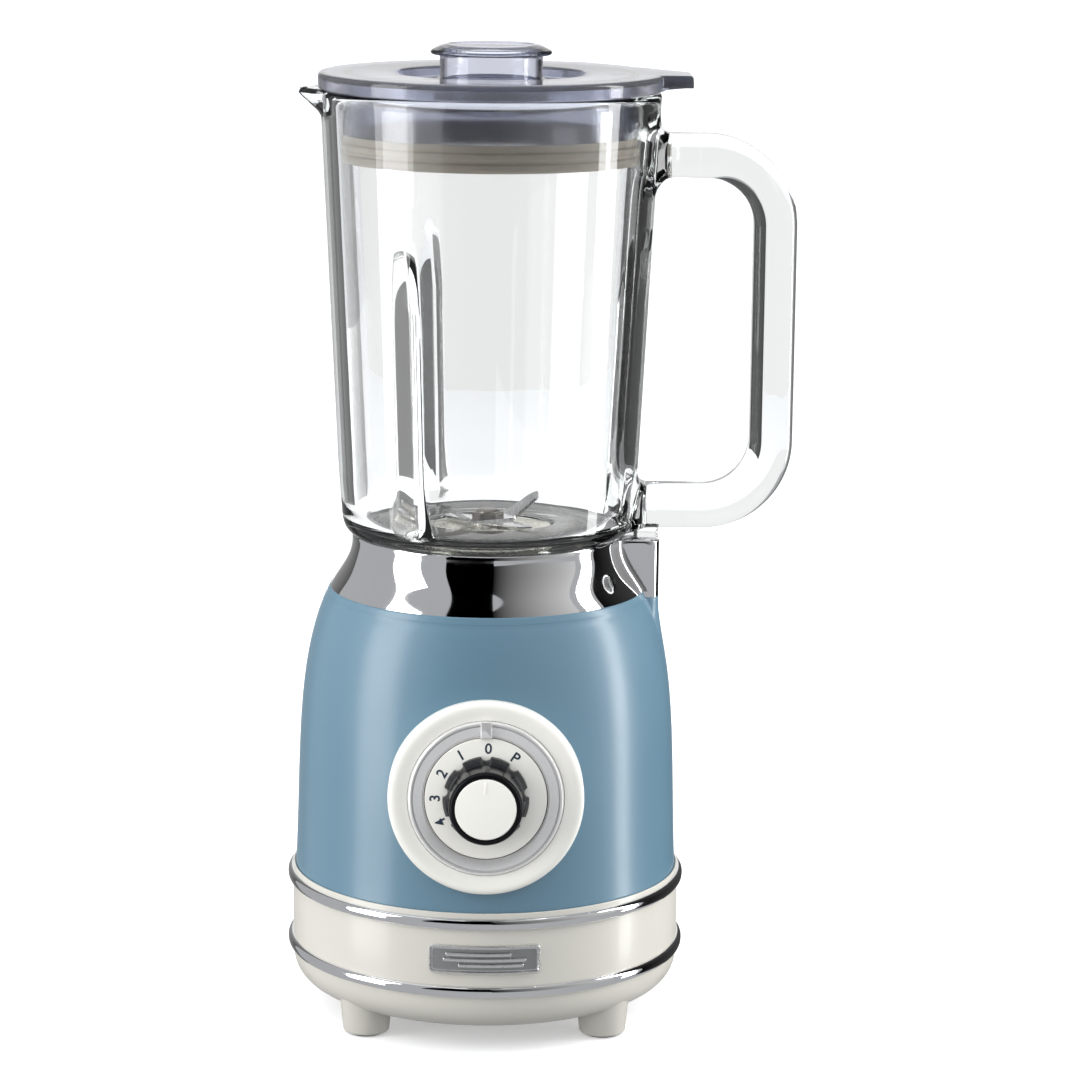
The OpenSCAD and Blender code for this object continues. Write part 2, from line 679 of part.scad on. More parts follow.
// Each spring is drawn as its turns side by side along one bar
spring_wire = 0.5;
module brush_springs() color([0.7, 0.7, 0.72]) for (s = [0, 180]) rotate([0, 0, s])
    translate([commutator_r + brush_len + 0.1, 0, holder_z + holder_wall + brush_h / 2]) rotate([0, 90, 0]) union() {
        for (i = [0 : 6]) translate([0, 0, spring_wire + i * (spring_len - 2 * spring_wire) / 6])
            rotate_extrude($fn = 32) translate([1.9, 0]) circle(spring_wire, $fn = 16);
        translate([1.9, 0, 0]) cylinder(r = 0.4, h = spring_len, $fn = 16);
    }
spring_len = stator_r - 4 - commutator_r - brush_len - 0.1;

module motor_mounts() color([0.12, 0.12, 0.12]) around(ear_ring, quarters)
    ring(screw_r + 0.4, mount_r, ear_z1, post_foot_z);

module motor_screws() color([0.7, 0.7, 0.72]) around(ear_ring, quarters) {
    rod(3.4, ear_z0 - 2.4, ear_z0);
    rod(screw_r, ear_z0 - 1, post_foot_z + 12);
}

// Rotor -----------------------------------------------------------------------------

module rotor_shaft() color([0.72, 0.72, 0.74]) rod(shaft_r, fan_z1 - fan_h - 1, star_z0 + 5);

slot_count = 12;
slot_w = 2.4;
slot_r = 12;
module rotor_core() color([0.45, 0.45, 0.47]) translate([0, 0, stack_z0]) linear_extrude(stack_h) difference() {
    circle(rotor_r);
    circle(shaft_r);
    for (i = [0 : slot_count - 1]) rotate(i * 360 / slot_count)
        translate([slot_r, -slot_w / 2]) square([rotor_r, slot_w]);
}

module rotor_windings() color([0.72, 0.38, 0.2]) union() {
    ring(shaft_r + 3, rotor_r - 2.5, stack_z1, stack_z1 + winding_h - 1);
    ring(shaft_r + 3, rotor_r - 2.5, stack_z0 - winding_h + 1, stack_z0);
    for (i = [0 : slot_count - 1]) rotate([0, 0, i * 360 / slot_count])
        translate([slot_r + 0.2, -slot_w / 2 + 0.2, stack_z0 - 1])
            cube([rotor_r - slot_r - 3, slot_w - 0.4, stack_h + 2]);
}

module commutator() color([0.72, 0.45, 0.25]) translate([0, 0, commutator_z]) linear_extrude(commutator_h) difference() {
    circle(commutator_r);
    circle(shaft_r);
    for (i = [0 : slot_count - 1]) rotate((i + 0.5) * 360 / slot_count)
        translate([commutator_r - 2, -0.35]) square([4, 0.7]);
}

module cooling_fan() color([0.85, 0.85, 0.8]) difference() {
    union() {
        rod(fan_r, fan_z1 - 1.6, fan_z1);
        rod(shaft_r + 4, fan_z1 - fan_h, fan_z1);
        for (i = [0 : fan_blades - 1]) rotate([0, 0, i * 360 / fan_blades])
            translate([shaft_r + 2, -3, fan_z1 - fan_h]) rotate([0, 0, 8]) cube([fan_r - shaft_r - 4, 1.4, fan_h - 1]);
    }
    rod(shaft_r, fan_z1 - fan_h - 1, fan_z1 + 1);
}

// Outline of the dog coupling, grown by a clearance
function star(grow) = [for (i = [0 : 2 * star_points - 1])
    let (r = (i % 2 == 0 ? star_out : star_in) + grow) [r * cos(i * 180 / star_points), r * sin(i * 180 / star_points)]];

module drive_coupling() color([0.1, 0.1, 0.1]) difference() {
    union() {
        rod(12, coupling_hub_z, star_z0);
        translate([0, 0, star_z0 - 1]) linear_extrude(star_h + 1) polygon(star(0));
    }
    rod(shaft_r, coupling_hub_z - 1, star_z0 + 5);
}

module jar_coupling() color([0.12, 0.12, 0.12]) difference() {
    rod(13.5, cup_z0, cup_z1);
    translate([0, 0, cup_z0 - 1]) linear_extrude(star_h + 2) polygon(star(star_fit));
    rod(shaft_r, cup_z0, cup_z1 + 1);
}

// Jug -------------------------------------------------------------------------------

module glass_jar() color([0.8, 0.85, 0.84, 0.4]) union() {
    difference() {
        union() {
            jar_body();
            handle();
            lip_outer();
        }
        jar_inside();
        lip_channel();
    }
    jar_ribs();
}

// Outside of the glass down to the floor's hole and neck
module jar_body() {
    rotate_extrude() polygon(concat(
        [[unit_hole_r, glass_under_z], [neck_in_r, glass_under_z], [neck_in_r, neck_z0], [neck_out_r, neck_z0],
         [neck_out_r, glass_under_z], [seat_r - 0.7, glass_under_z], [seat_r - 0.7, shoulder_z]],
        curve([[neck_r + 0.3, shoulder_z], [neck_r + 3, shoulder_z + 1.8],
            [jar_foot_r - 0.2, shoulder_z + 4], [jar_foot_r, shoulder_z + 10]], 6),
        [[wall_r0, wall_z0], [jar_r(rim_z - 9), rim_z - 9], [rim_r, rim_z - 2], [rim_r - 1, rim_z],
         [unit_hole_r, rim_z]]));
}

module jar_inside() {
    rotate_extrude() polygon(concat(
        [[0, floor_z]],
        curve([[wall_r0 - glass_wall - 6, floor_z], [wall_r0 - glass_wall - 3, floor_z],
            [wall_r0 - glass_wall - 1, floor_z + 2.5], [wall_r0 - glass_wall - 0.6, floor_z + 9]], 5),
        [[jar_in_r(wall_z0), wall_z0], [jar_in_r(rim_z), rim_z], [jar_in_r(rim_z), rim_z + 5], [0, rim_z + 5]]));
}

taper = atan((rim_r - 0.3 - wall_r0) / (rim_z - 9 - wall_z0));
rib_h = 0.64 * jar_h;
module jar_ribs() {
    for (a = rib_turns) rotate([0, 0, a]) translate([wall_r0 - glass_wall + 1.5, 0, floor_z - 1])
        rotate([0, taper, 0]) linear_extrude(rib_h) polygon([[1, -4.5], [-rib_reach, -1.2], [-rib_reach, 1.2], [1, 4.5]]);
}

// Handle: two arms, two bends and the grip, all of one section
handle_round = 6;
module handle_section() round_rect(handle_t, handle_d, handle_round);

module handle_bend_piece(z, turn) {
    translate([grip_x - handle_bend, 0, z]) rotate([90, 0, 0]) rotate([0, 0, turn])
        rotate_extrude(angle = 90) translate([handle_bend, 0]) handle_section();
}

module handle_arm(x0, z) {
    translate([x0, 0, z]) rotate([0, 90, 0]) linear_extrude(grip_x - handle_bend - x0) handle_section();
}

module handle() {
    handle_arm(jar_in_r(handle_top_z) + 1.5, handle_top_z);
    handle_arm(wall_r0 - glass_wall + 2, handle_low_z);
    handle_bend_piece(handle_top_z - handle_bend, 0);
    handle_bend_piece(handle_low_z + handle_bend, -90);
    translate([grip_x, 0, handle_low_z + handle_bend])
        linear_extrude(handle_top_z - handle_low_z - 2 * handle_bend) handle_section();
    // Nub that keys the jug on the collar's block
    translate([neck_r + 4, -7, nub_z]) cube([10, 14, handle_low_z - nub_z]);
}

lip_reach = 77.6;
module lip_outer() intersection() {
    translate([0, 20, 0]) rotate([90, 0, 0]) linear_extrude(40)
        polygon([[-rim_r + 4, rim_z], [-lip_reach, rim_z], [-lip_reach, rim_z - 1.6], [-rim_r, rim_z - 10],
            [-rim_r + 4, rim_z - 10]]);
    translate([0, 0, rim_z - 12]) linear_extrude(13)
        polygon([[-rim_r + 6, 17], [-rim_r + 2, 15], [-lip_reach, 2.4], [-lip_reach, -2.4], [-rim_r + 2, -15],
            [-rim_r + 6, -17]]);
}

module lip_channel() intersection() {
    translate([0, 20, 0]) rotate([90, 0, 0]) linear_extrude(40)
        polygon([[-rim_r + 12, rim_z + 1], [-lip_reach + 1.4, rim_z + 1], [-rim_r + 3, rim_z - 6],
            [-rim_r + 12, rim_z - 6]]);
    translate([0, 0, rim_z - 12]) linear_extrude(14)
        polygon([[-rim_r + 14, 11], [-rim_r + 3, 9], [-lip_reach + 1.6, 0.4], [-lip_reach + 1.6, -0.4],
            [-rim_r + 3, -9], [-rim_r + 14, -11]]);
}

module blade_base() color([0.78, 0.77, 0.72]) rotate_extrude() polygon([
    [bushing_r, cup_z1 + 1], [bushing_r + 3, cup_z1 + 1], [bushing_r + 3, unit_top_z - 2.5],
    [unit_hole_r - 3, unit_top_z - 2.5], [unit_hole_r - 3, glass_under_z - gasket_t - flange_t],
    [unit_flange_r - 4, glass_under_z - gasket_t - flange_t], [unit_flange_r - 4, neck_z0],
    [unit_flange_r, neck_z0], [unit_flange_r, glass_under_z - gasket_t],
    [unit_hole_r - loose, glass_under_z - gasket_t], [unit_hole_r - loose, unit_top_z - 1],
    [unit_hole_r - 1.3, unit_top_z], [bushing_r + 2, unit_top_z], [bushing_r + 1, hub_z], [bushing_r, hub_z]]);

module blade_bushing() color([0.7, 0.55, 0.3]) ring(shaft_r + run_fit, bushing_r, cup_z1 + 1, hub_z);

module jar_gasket() color([0.75, 0.72, 0.66])
    ring(unit_hole_r, unit_flange_r, glass_under_z - gasket_t, glass_under_z);

module jar_nut() color([0.2, 0.2, 0.21]) difference() {
    union() {
        ring(unit_flange_r - 5, neck_out_r + 4, deck_floor_z, neck_z0);
        ring(neck_out_r, neck_out_r + 4, deck_floor_z, glass_under_z - 1);
    }
    for (i = [0 : 11]) rotate([0, 0, i * 30]) translate([neck_out_r + 4.6, 0, deck_floor_z - 1])
        cylinder(r = 1.6, h = glass_under_z - deck_floor_z, $fn = 24);
}

// Blades ------------------------------------------------------------------------------

module blade_shaft() color([0.75, 0.75, 0.77]) rod(shaft_r, star_z0 + star_h + 2.2, nut_z + 2.6);

// One blade pair: a middle plate and two arms bent by an angle
blade_flat = 9;
blade_w = 12;
module blade_pair(z, lift) {
    translate([0, 0, z]) difference() {
        union() {
            translate([-blade_flat, -blade_w / 2, 0]) cube([2 * blade_flat, blade_w, blade_t]);
            for (s = [0, 180]) rotate([0, 0, s]) translate([blade_flat - 0.2, 0, 0]) rotate([0, -lift, 0])
                linear_extrude(blade_t) polygon([[0, -blade_w / 2], [arm_len(lift) * 0.75, -blade_w / 2 + 2],
                    [arm_len(lift), blade_w / 2 - 2], [0, blade_w / 2]]);
        }
        translate([0, 0, -1]) cylinder(r = shaft_r, h = 4);
    }
}
function arm_len(lift) = (blade_reach - blade_flat) / cos(lift);

upper_blade_turn = 26;
lower_blade_turn = -48;
module upper_blade() color([0.78, 0.78, 0.79]) rotate([0, 0, upper_blade_turn]) blade_pair(upper_blade_z, blade_lift);
module lower_blade() color([0.78, 0.78, 0.79]) rotate([0, 0, lower_blade_turn]) blade_pair(lower_blade_z, -3);
module blade_washer() color([0.7, 0.7, 0.72]) ring(shaft_r, 7.5, hub_z, lower_blade_z);
module blade_nut() color([0.75, 0.75, 0.77]) difference() {
    union() {
        translate([0, 0, nut_z]) cylinder(r = 6.6, h = 2.4, $fn = 6);
        rod(5, nut_z, nut_z + 3.8);
    }
    rod(shaft_r, nut_z - 1, nut_z + 2.6);
}

// Lid and cap ---------------------------------------------------------------------------

seal_r = min(jar_in_r(plug_z0), jar_in_r(rim_z)) - loose;
plug_r = seal_r - 2.2;
module lid() color([0.36, 0.38, 0.46, 0.8]) union() {
    rotate_extrude() polygon([
        [cap_hole_r, basin_z], [basin_r - 4, basin_z], [basin_r, lid_z1], [lid_r - 1.4, lid_z1],
        [lid_r, lid_z1 - 1.6], [lid_r, lid_z0], [lid_r - lid_wall, lid_z0], [lid_r - lid_wall, lid_z1 - lid_wall],
        [seal_r - 0.6, lid_z1 - lid_wall], [seal_r - 0.6, seal_z1], [plug_r, seal_z1], [plug_r, plug_z0 + 1.6],
        [plug_r - 2, plug_z0 + 1.6], [plug_r - 2, lid_z1 - lid_wall], [basin_r + 2, lid_z1 - lid_wall],
        [basin_r - 2.6, basin_z - 2], [cap_hole_r + 2, basin_z - 2], [cap_hole_r + 2, basin_z - 9],
        [cap_hole_r, basin_z - 9]]);
    difference() {
        translate([0, 0, lid_z1 - 5]) linear_extrude(5) tab_plan();
        rod(lid_r - lid_wall, lid_z1 - 10, lid_z1 - lid_wall);
        rod(lid_r - 4, lid_z1 - 5, lid_z1 + 1);
    }
}

// Plan of the lid's tab: a step at the front, a long blend at the back
module tab_plan() {
    polygon([[lid_r - 8, -13], [lid_r - 2, -13], [lid_r - 1, -11], [tab_reach - 4, -11], [tab_reach - 1.2, -9.8],
        [tab_reach, -7], [tab_reach, 8], [tab_reach - 1.4, 12], [lid_r * cos(48), lid_r * sin(48)],
        [lid_r * cos(48) - 6, lid_r * sin(48) - 6]]);
}

module lid_gasket() color([0.72, 0.69, 0.62]) rotate_extrude() polygon([
    [plug_r - 2, plug_z0], [seal_r - 0.6, plug_z0], [seal_r, plug_z0 + 1.2], [seal_r - 0.2, plug_z0 + 3.2],
    [seal_r - 1, plug_z0 + 3.8], [seal_r - 1, plug_z0 + 4.8], [seal_r - 0.1, plug_z0 + 5.4],
    [seal_r - 0.1, plug_z0 + 7.4], [seal_r - 1, plug_z0 + 8], [seal_r - 1, seal_z1 - 0.4],
    [seal_r - 0.7, seal_z1], [plug_r, seal_z1], [plug_r, plug_z0 + 1.6], [plug_r - 2, plug_z0 + 1.6]]);

cap_wall = 1.8;
cap_foot_z = basin_z - 12;
module measuring_cap() color([0.45, 0.5, 0.58, 0.6]) rotate_extrude() polygon([
    [cap_neck_r - cap_wall, cap_foot_z], [cap_neck_r, cap_foot_z], [cap_neck_r, basin_z + 0.2],
    [cap_neck_r + 1.8, basin_z + 0.2], [cap_neck_r + 1.4, basin_z + 1.8], [cap_neck_r, basin_z + 2.2],
    [cap_neck_r, cap_flange_z], [cap_flange_r - 0.6, cap_flange_z], [cap_flange_r, cap_flange_z + 0.8],
    [cap_flange_r - 0.6, cap_flange_z + 1.7], [cap_flange_r - 4, cap_flange_z + 3.4],
    [cap_flange_r - 7, cap_flange_z + 4.1], [cap_flange_r - 8, cap_flange_z + 3.4], [0, cap_flange_z + 2.4],
    [0, cap_flange_z + 0.8], [cap_neck_r - cap_wall, cap_flange_z + 0.8]]);

base_pan();
foot_pads();
base_band();
lower_trim_ring();
upper_trim_ring();
badge_plate();
body_shell();
chrome_collar();
jug_seat();
tie_screws();
collar_screws();
dial_bezel();
dial_ring();
rotary_switch();
control_board();
suppression_capacitor();
interlock_switch();
cord_gland();
fan_shroud();
motor_upper_bracket();
motor_lower_bracket();
upper_bearing();
lower_bearing();
stator_core();
field_coils();
through_bolts();
brush_holders();
carbon_brushes();
brush_springs();
motor_mounts();
motor_screws();
rotor_shaft();
rotor_core();
rotor_windings();
commutator();
cooling_fan();
drive_coupling();
glass_jar();
blade_base();
blade_bushing();
jar_gasket();
jar_nut();
blade_shaft();
lower_blade();
upper_blade();
blade_washer();
blade_nut();
jar_coupling();
lid();
lid_gasket();
measuring_cap();
dial_disc();
knob();
knob_cap();
knob_spindle();
interlock_pin();
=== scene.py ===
"""Countertop blender: looks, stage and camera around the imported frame."""

import json
import math

import bmesh
import bpy
from mathutils import Matrix, Vector, geometry


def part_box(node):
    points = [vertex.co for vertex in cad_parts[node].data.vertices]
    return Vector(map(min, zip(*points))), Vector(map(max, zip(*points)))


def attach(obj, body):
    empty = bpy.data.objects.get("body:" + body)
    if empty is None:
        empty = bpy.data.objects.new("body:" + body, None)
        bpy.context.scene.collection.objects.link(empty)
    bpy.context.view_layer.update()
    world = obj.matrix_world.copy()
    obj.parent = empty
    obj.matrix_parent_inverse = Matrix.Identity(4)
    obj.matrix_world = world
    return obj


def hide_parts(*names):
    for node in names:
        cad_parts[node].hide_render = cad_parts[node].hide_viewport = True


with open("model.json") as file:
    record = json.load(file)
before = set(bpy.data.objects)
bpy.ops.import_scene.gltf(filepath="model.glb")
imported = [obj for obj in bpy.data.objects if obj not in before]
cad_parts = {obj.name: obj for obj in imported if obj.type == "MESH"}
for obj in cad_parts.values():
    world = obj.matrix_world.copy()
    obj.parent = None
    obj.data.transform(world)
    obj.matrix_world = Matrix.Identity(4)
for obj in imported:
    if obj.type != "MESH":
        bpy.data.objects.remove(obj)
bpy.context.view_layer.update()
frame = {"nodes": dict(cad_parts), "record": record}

bl_info = {
    "name": "Countertop blender builder",
    "version": (1, 0, 0),
    "blender": (4, 5, 0),
    "location": "3D View > Sidebar > Blender",
    "description": "Models the housing, dial, jug, blades and lid of a countertop blender on its CAD frame",
    "category": "Object",
}

MM = 0.001
SHARP = math.radians(34)       # an edge that turns more than this stays crisp
WELD = 2e-6                    # points closer than this are one
ROUND_STEPS = 5                # steps of a rounded corner


def low(node, axis):
    """Lowest coordinate of a CAD node along an axis, in millimetres."""
    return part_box(node)[0][axis] / MM


def high(node, axis):
    """Highest coordinate of a CAD node along an axis, in millimetres."""
    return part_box(node)[1][axis] / MM


def joint(name):
    """The record's row for a joint."""
    return next(j for j in frame["record"]["behaviour"]["joints"] if j["name"] == name)


# Places that the CAD frame settles, in millimetres
BAND_R = high("base_band", 0)
PAN_TOP = low("base_band", 2)
BAND_TOP = high("base_band", 2)
SHELL_FOOT = low("body_shell", 2)
SHELL_TOP = high("body_shell", 2)
COLLAR_TOP = high("chrome_collar", 2)
COLLAR_FOOT_R = -low("chrome_collar", 0)
BLOCK_X = high("chrome_collar", 0)
BLOCK_FOOT = low("chrome_collar", 2)
BLOCK_TOP = COLLAR_TOP - 1.4   # top of the collar's block under the handle
RIM_Z = high("glass_jar", 2)
NECK_Z = low("glass_jar", 2)
GRIP_OUT = high("glass_jar", 0)
LIP_REACH = -low("glass_jar", 0)
LID_TOP = high("lid", 2)
LID_REACH = high("lid", 0)
LID_R = -low("lid", 0)
LID_FOOT = RIM_Z + 0.3         # underside of the lid's rim
SEAL_Z = low("lid_gasket", 2)
SEAL_R = high("lid_gasket", 0)
CAP_TOP = high("measuring_cap", 2)
CAP_FOOT = low("measuring_cap", 2)
CAP_R = high("measuring_cap", 0)
DIAL_AT = Vector(joint("dial_turn")["pos_m"])
DIAL_AXIS = Vector(joint("dial_turn")["axis"]).normalized()


def srgb(red, green, blue):
    """Linear colour of screen values from 0 to 255."""
    def linear(c):
        c /= 255
        return c / 12.92 if c <= 0.04045 else ((c + 0.055) / 1.055) ** 2.4
    return (linear(red), linear(green), linear(blue))


# Settings that a user would change


def colour_setting(name, description, default):
    return bpy.props.FloatVectorProperty(
        name=name, description=description, default=default, subtype="COLOR", size=3, min=0, max=1)


def length_setting(name, description, default_mm):
    return bpy.props.FloatProperty(
        name=name, description=description, default=default_mm * MM, min=0, unit="LENGTH", precision=4)


def angle_setting(name, description, default, **limits):
    return bpy.props.FloatProperty(
        name=name, description=description, default=default, subtype="ANGLE", unit="ROTATION", **limits)


class HousingSettings(bpy.types.PropertyGroup):
    """Sizes and colours of the pan, band, shell and collar."""

    paint: colour_setting("Paint", "Colour of the painted body shell", srgb(95, 129, 148))
    # Painted shade: this cream is the dial's cream darkened to stand in for the shade on the pan, band and
    # legs
    cream: colour_setting("Cream", "Colour of the pan and the band", srgb(207, 204, 195))
    neck_radius: length_setting("Neck radius", "Outer radius of the collar's top edge", 56)
    shell_wall: length_setting("Shell wall", "Wall of the painted shell", 1.8)
    band_wall: length_setting("Band wall", "Wall of the pan and the band", 2.6)
    trim_height: length_setting("Trim height", "Height of a polished trim ring", 5)
    leg_radius: length_setting("Leg radius", "Radius of a leg where it meets the pan", 10.7)
    leg_ring: length_setting("Leg ring", "Distance of a leg from the middle", 66.8)
    block_half: length_setting("Block half width", "Half the width of the block under the handle", 13)


class DialSettings(bpy.types.PropertyGroup):
    """Sizes and colours of the dial."""

    # Painted light: this cream is the band's cream brightened to stand in for the front light on the bezel,
    # disc and knob cap
    cream: colour_setting("Cream", "Colour of the bezel, disc and knob cap", srgb(249, 247, 239))
    ink: colour_setting("Ink", "Colour of the numbers", srgb(38, 56, 74))
    bezel_radius: length_setting("Bezel radius", "Outer radius of the bezel", 39.1)
    ring_radius: length_setting("Ring radius", "Outer radius of the polished ring", 31.2)
    disc_radius: length_setting("Disc radius", "Radius of the numbered disc", 24.3)
    skirt_radius: length_setting("Skirt radius", "Radius of the knob's notched skirt", 17.2)
    cap_radius: length_setting("Cap radius", "Radius of the knob's cap", 12.1)
    number_height: length_setting("Number height", "Height of a number on the disc", 4.3)
    notches: bpy.props.IntProperty(
        name="Notches", description="Notches round the skirt", default=9, min=3, max=24)


class JugSettings(bpy.types.PropertyGroup):
    """Sizes of the glass jar and its blades."""

    glass_wall: length_setting("Glass wall", "Wall of the glass", 7)
    rib_reach: length_setting("Rib reach", "Reach of an inner rib from the wall", 5.5)
    rib_height: length_setting("Rib height", "Height of an inner rib above the floor", 117)
    grip_thickness: length_setting("Grip thickness", "Thickness of the handle from the front", 17.5)
    grip_depth: length_setting("Grip depth", "Depth of the handle, front to back", 22)
    grip_bend: length_setting("Grip bend", "Bend radius of the handle's middle line", 28)
    blade_reach: length_setting("Blade reach", "Reach of a blade from the axis", 24.5)
    blade_lift: angle_setting(
        "Blade lift", "Upward bend of the upper blade's arms", math.radians(29), min=0, max=math.radians(60))


class LidSettings(bpy.types.PropertyGroup):
    """Sizes and colours of the lid, its seal and the measuring cap."""

    smoke: colour_setting("Smoke", "Colour that passes through the lid", srgb(152, 160, 190))
    seal: colour_setting("Seal", "Colour of the ring seal", srgb(196, 188, 176))
    basin_radius: length_setting("Basin radius", "Radius of the basin round the cap", 39.5)
    neck_radius: length_setting("Cap neck", "Radius of the measuring cap's neck", 20.8)


class StudioSettings(bpy.types.PropertyGroup):
    """Camera, floor and lights."""

    distance: length_setting("Distance", "Camera's distance in front of the axis", 1519.4)
    height: length_setting("Height", "Camera's height above the floor", 505.9)
    pitch: angle_setting("Pitch", "How far the camera looks down", 0.2004)
    yaw: angle_setting("Yaw", "How far the camera looks right", 0.0142)
    roll: angle_setting("Roll", "Turn of the camera on its own axis", 0.0103)
    focal_length: bpy.props.FloatProperty(
        name="Focal length", description="Focal length on a 36 mm sensor", default=125.08, unit="CAMERA")
    floor: colour_setting("Floor", "Colour of the floor", (0.93, 0.93, 0.93))


# Mesh helpers


def curve(p0, p1, p2, p3, steps):
    """Points of a Bezier curve in the (radius, height) plane."""
    knots = [Vector((p[0], p[1], 0)) for p in (p0, p1, p2, p3)]
    return [(p.x, p.y) for p in geometry.interpolate_bezier(*knots, steps + 1)]


def line_between(p0, p1, steps):
    """Points from p0 up to, and without, p1."""
    return [(p0[0] + (p1[0] - p0[0]) * i / steps, p0[1] + (p1[1] - p0[1]) * i / steps) for i in range(steps)]


def outline(bm, points):
    """Wire of (radius, height[, corner]) points in the XZ plane; closed unless both ends lie on the axis."""
    verts = [bm.verts.new((p[0] * MM, 0, p[1] * MM)) for p in points]
    edges = [bm.edges.new(pair) for pair in zip(verts, verts[1:])]
    if max(points[0][0], points[-1][0]) > 1e-4:
        edges.append(bm.edges.new((verts[-1], verts[0])))
    corners = {}
    for vert, point in zip(verts, points):
        if len(point) > 2:
            corners.setdefault(point[2], []).append(vert)
    for radius, group in corners.items():
        bmesh.ops.bevel(
            bm, geom=group, offset=radius * MM, offset_type="OFFSET", segments=ROUND_STEPS, profile=0.5,
            affect="VERTICES", clamp_overlap=True, material=-1)


def clean(bm):
    """Welds doubles and points the faces outwards."""
    bmesh.ops.remove_doubles(bm, verts=bm.verts, dist=WELD)
    bmesh.ops.dissolve_degenerate(bm, edges=bm.edges, dist=WELD)
    return face_outwards(bm)


def face_outwards(bm):
    """Points the faces of one closed skin outwards."""
    bmesh.ops.recalc_face_normals(bm, faces=bm.faces)
    if bm.calc_volume(signed=True) < 0:
        bmesh.ops.reverse_faces(bm, faces=bm.faces)
    return bm


def lathe(points, steps):
    """Solid of revolution round Z in even steps."""
    return turned(points, ((360, steps),))


def turned(points, arcs, start=0):
    """Solid of revolution round Z. arcs are (degrees, steps) stretches of the turn, from start."""
    bm = bmesh.new()
    angle = start
    for degrees, steps in arcs:
        part = bmesh.new()
        outline(part, points)
        bmesh.ops.rotate(part, verts=part.verts, cent=(0, 0, 0), matrix=spin(angle, 3))
        bmesh.ops.spin(
            part, geom=part.verts[:] + part.edges[:], cent=(0, 0, 0), axis=(0, 0, 1),
            angle=math.radians(degrees), steps=steps, use_merge=degrees == 360, use_duplicate=False)
        join(bm, part)
        angle += degrees
    return clean(bm)


def join(bm, part):
    """Moves part's geometry into bm."""
    mesh = bpy.data.meshes.new("part")
    part.to_mesh(mesh)
    part.free()
    bm.from_mesh(mesh)
    bpy.data.meshes.remove(mesh)


def around(make, radius, angles):
    """Copies of what make() models, on a ring round Z."""
    bm = bmesh.new()
    for angle in angles:
        part = make()
        place = spin(angle) @ Matrix.Translation((radius * MM, 0, 0))
        bmesh.ops.transform(part, matrix=place, verts=part.verts)
        join(bm, part)
    return bm


def plate(width, height, corner, steps=ROUND_STEPS):
    """Flat sheet round the origin in the XY plane, with round corners."""
    bm = bmesh.new()
    bmesh.ops.create_grid(bm, x_segments=1, y_segments=1, size=0.5)
    bmesh.ops.scale(bm, vec=(width * MM, height * MM, 1), verts=bm.verts)
    if corner:
        bmesh.ops.bevel(
            bm, geom=bm.verts[:], offset=corner * MM, offset_type="OFFSET", segments=steps, profile=0.5,
            affect="VERTICES", material=-1)
    return bm


def thickened(bm, thickness, **options):
    """Draws a flat sheet upwards into a closed plate and gives back the points of its top."""
    raised = bmesh.ops.extrude_face_region(bm, geom=bm.faces[:], **options)["geom"]
    top = [g for g in raised if isinstance(g, bmesh.types.BMVert)]
    bmesh.ops.translate(bm, vec=(0, 0, thickness * MM), verts=top)
    return top


def slab(width, height, z0, z1, corner=0.0, edge=0.0, centre=(0, 0)):
    """Plate from z0 to z1 with round corners, the edges of its top bevelled."""
    bm = plate(width, height, corner)
    top = thickened(bm, z1 - z0)
    bmesh.ops.translate(bm, vec=(centre[0] * MM, centre[1] * MM, z0 * MM), verts=bm.verts)
    if edge:
        rim = [e for e in bm.edges if all(v in top for v in e.verts)]
        bmesh.ops.bevel(
            bm, geom=rim, offset=edge * MM, offset_type="OFFSET", segments=3, profile=0.5, affect="EDGES",
            clamp_overlap=True, material=-1)
    bmesh.ops.recalc_face_normals(bm, faces=bm.faces)
    return bm


def cut_across(bm, x):
    """Cuts every face at a place along X, without parting it."""
    geom = bm.verts[:] + bm.edges[:] + bm.faces[:]
    bmesh.ops.bisect_plane(bm, geom=geom, plane_co=(x * MM, 0, 0), plane_no=(1, 0, 0))


def spin(degrees, size=4):
    """Turn round Z."""
    return Matrix.Rotation(math.radians(degrees), size, "Z")


def reshape(bm, rule):
    """Moves points in cylinder coordinates: rule(radius, turn, height) gives the new radius and height."""
    for vert in bm.verts:
        radius = math.hypot(vert.co.x, vert.co.y) / MM
        if radius > 0:
            turn = math.atan2(vert.co.y, vert.co.x)
            new_radius, height = rule(radius, turn, vert.co.z / MM)
            vert.co = (new_radius * MM * math.cos(turn), new_radius * MM * math.sin(turn), height * MM)
    return bm


def smooth_max(a, b, blend):
    """The larger of two values, rounded where they meet."""
    share = max(blend - abs(a - b), 0) / blend
    return max(a, b) + share * share * blend / 4


def ramp(value, start, end):
    """0 at start and 1 at end, with soft ends."""
    t = min(max((value - start) / (end - start), 0), 1)
    return t * t * (3 - 2 * t)


def turn_from(turn, degrees):
    """Signed difference of a turn from an angle in degrees."""
    return (math.degrees(turn) - degrees + 180) % 360 - 180


def piece(name, bm, mat, body, nodes=(), place=None):
    """Makes the finished object of a mesh, hangs it on the empty of the body it rides on and hides the CAD
    nodes it stands for.
    """
    if place is not None:
        bmesh.ops.transform(bm, matrix=place, verts=bm.verts)
    torn = [e.verts[0].co / MM for e in bm.edges if not e.is_manifold]
    if torn:
        raise RuntimeError(f"{name} is not closed at {len(torn)} edges, the first near {torn[:4]}")
    for face in bm.faces:
        face.smooth = True
    for edge in bm.edges:
        edge.smooth = edge.calc_face_angle() < SHARP
    mesh = bpy.data.meshes.new(name)
    bm.to_mesh(mesh)
    bm.free()
    mesh.materials.append(mat)
    obj = bpy.data.objects.new(name, mesh)
    bpy.context.collection.objects.link(obj)
    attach(obj, body)
    if nodes:
        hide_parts(*nodes)
    return obj


# Materials


def link(tree, source, target):
    tree.links.new(source, target)


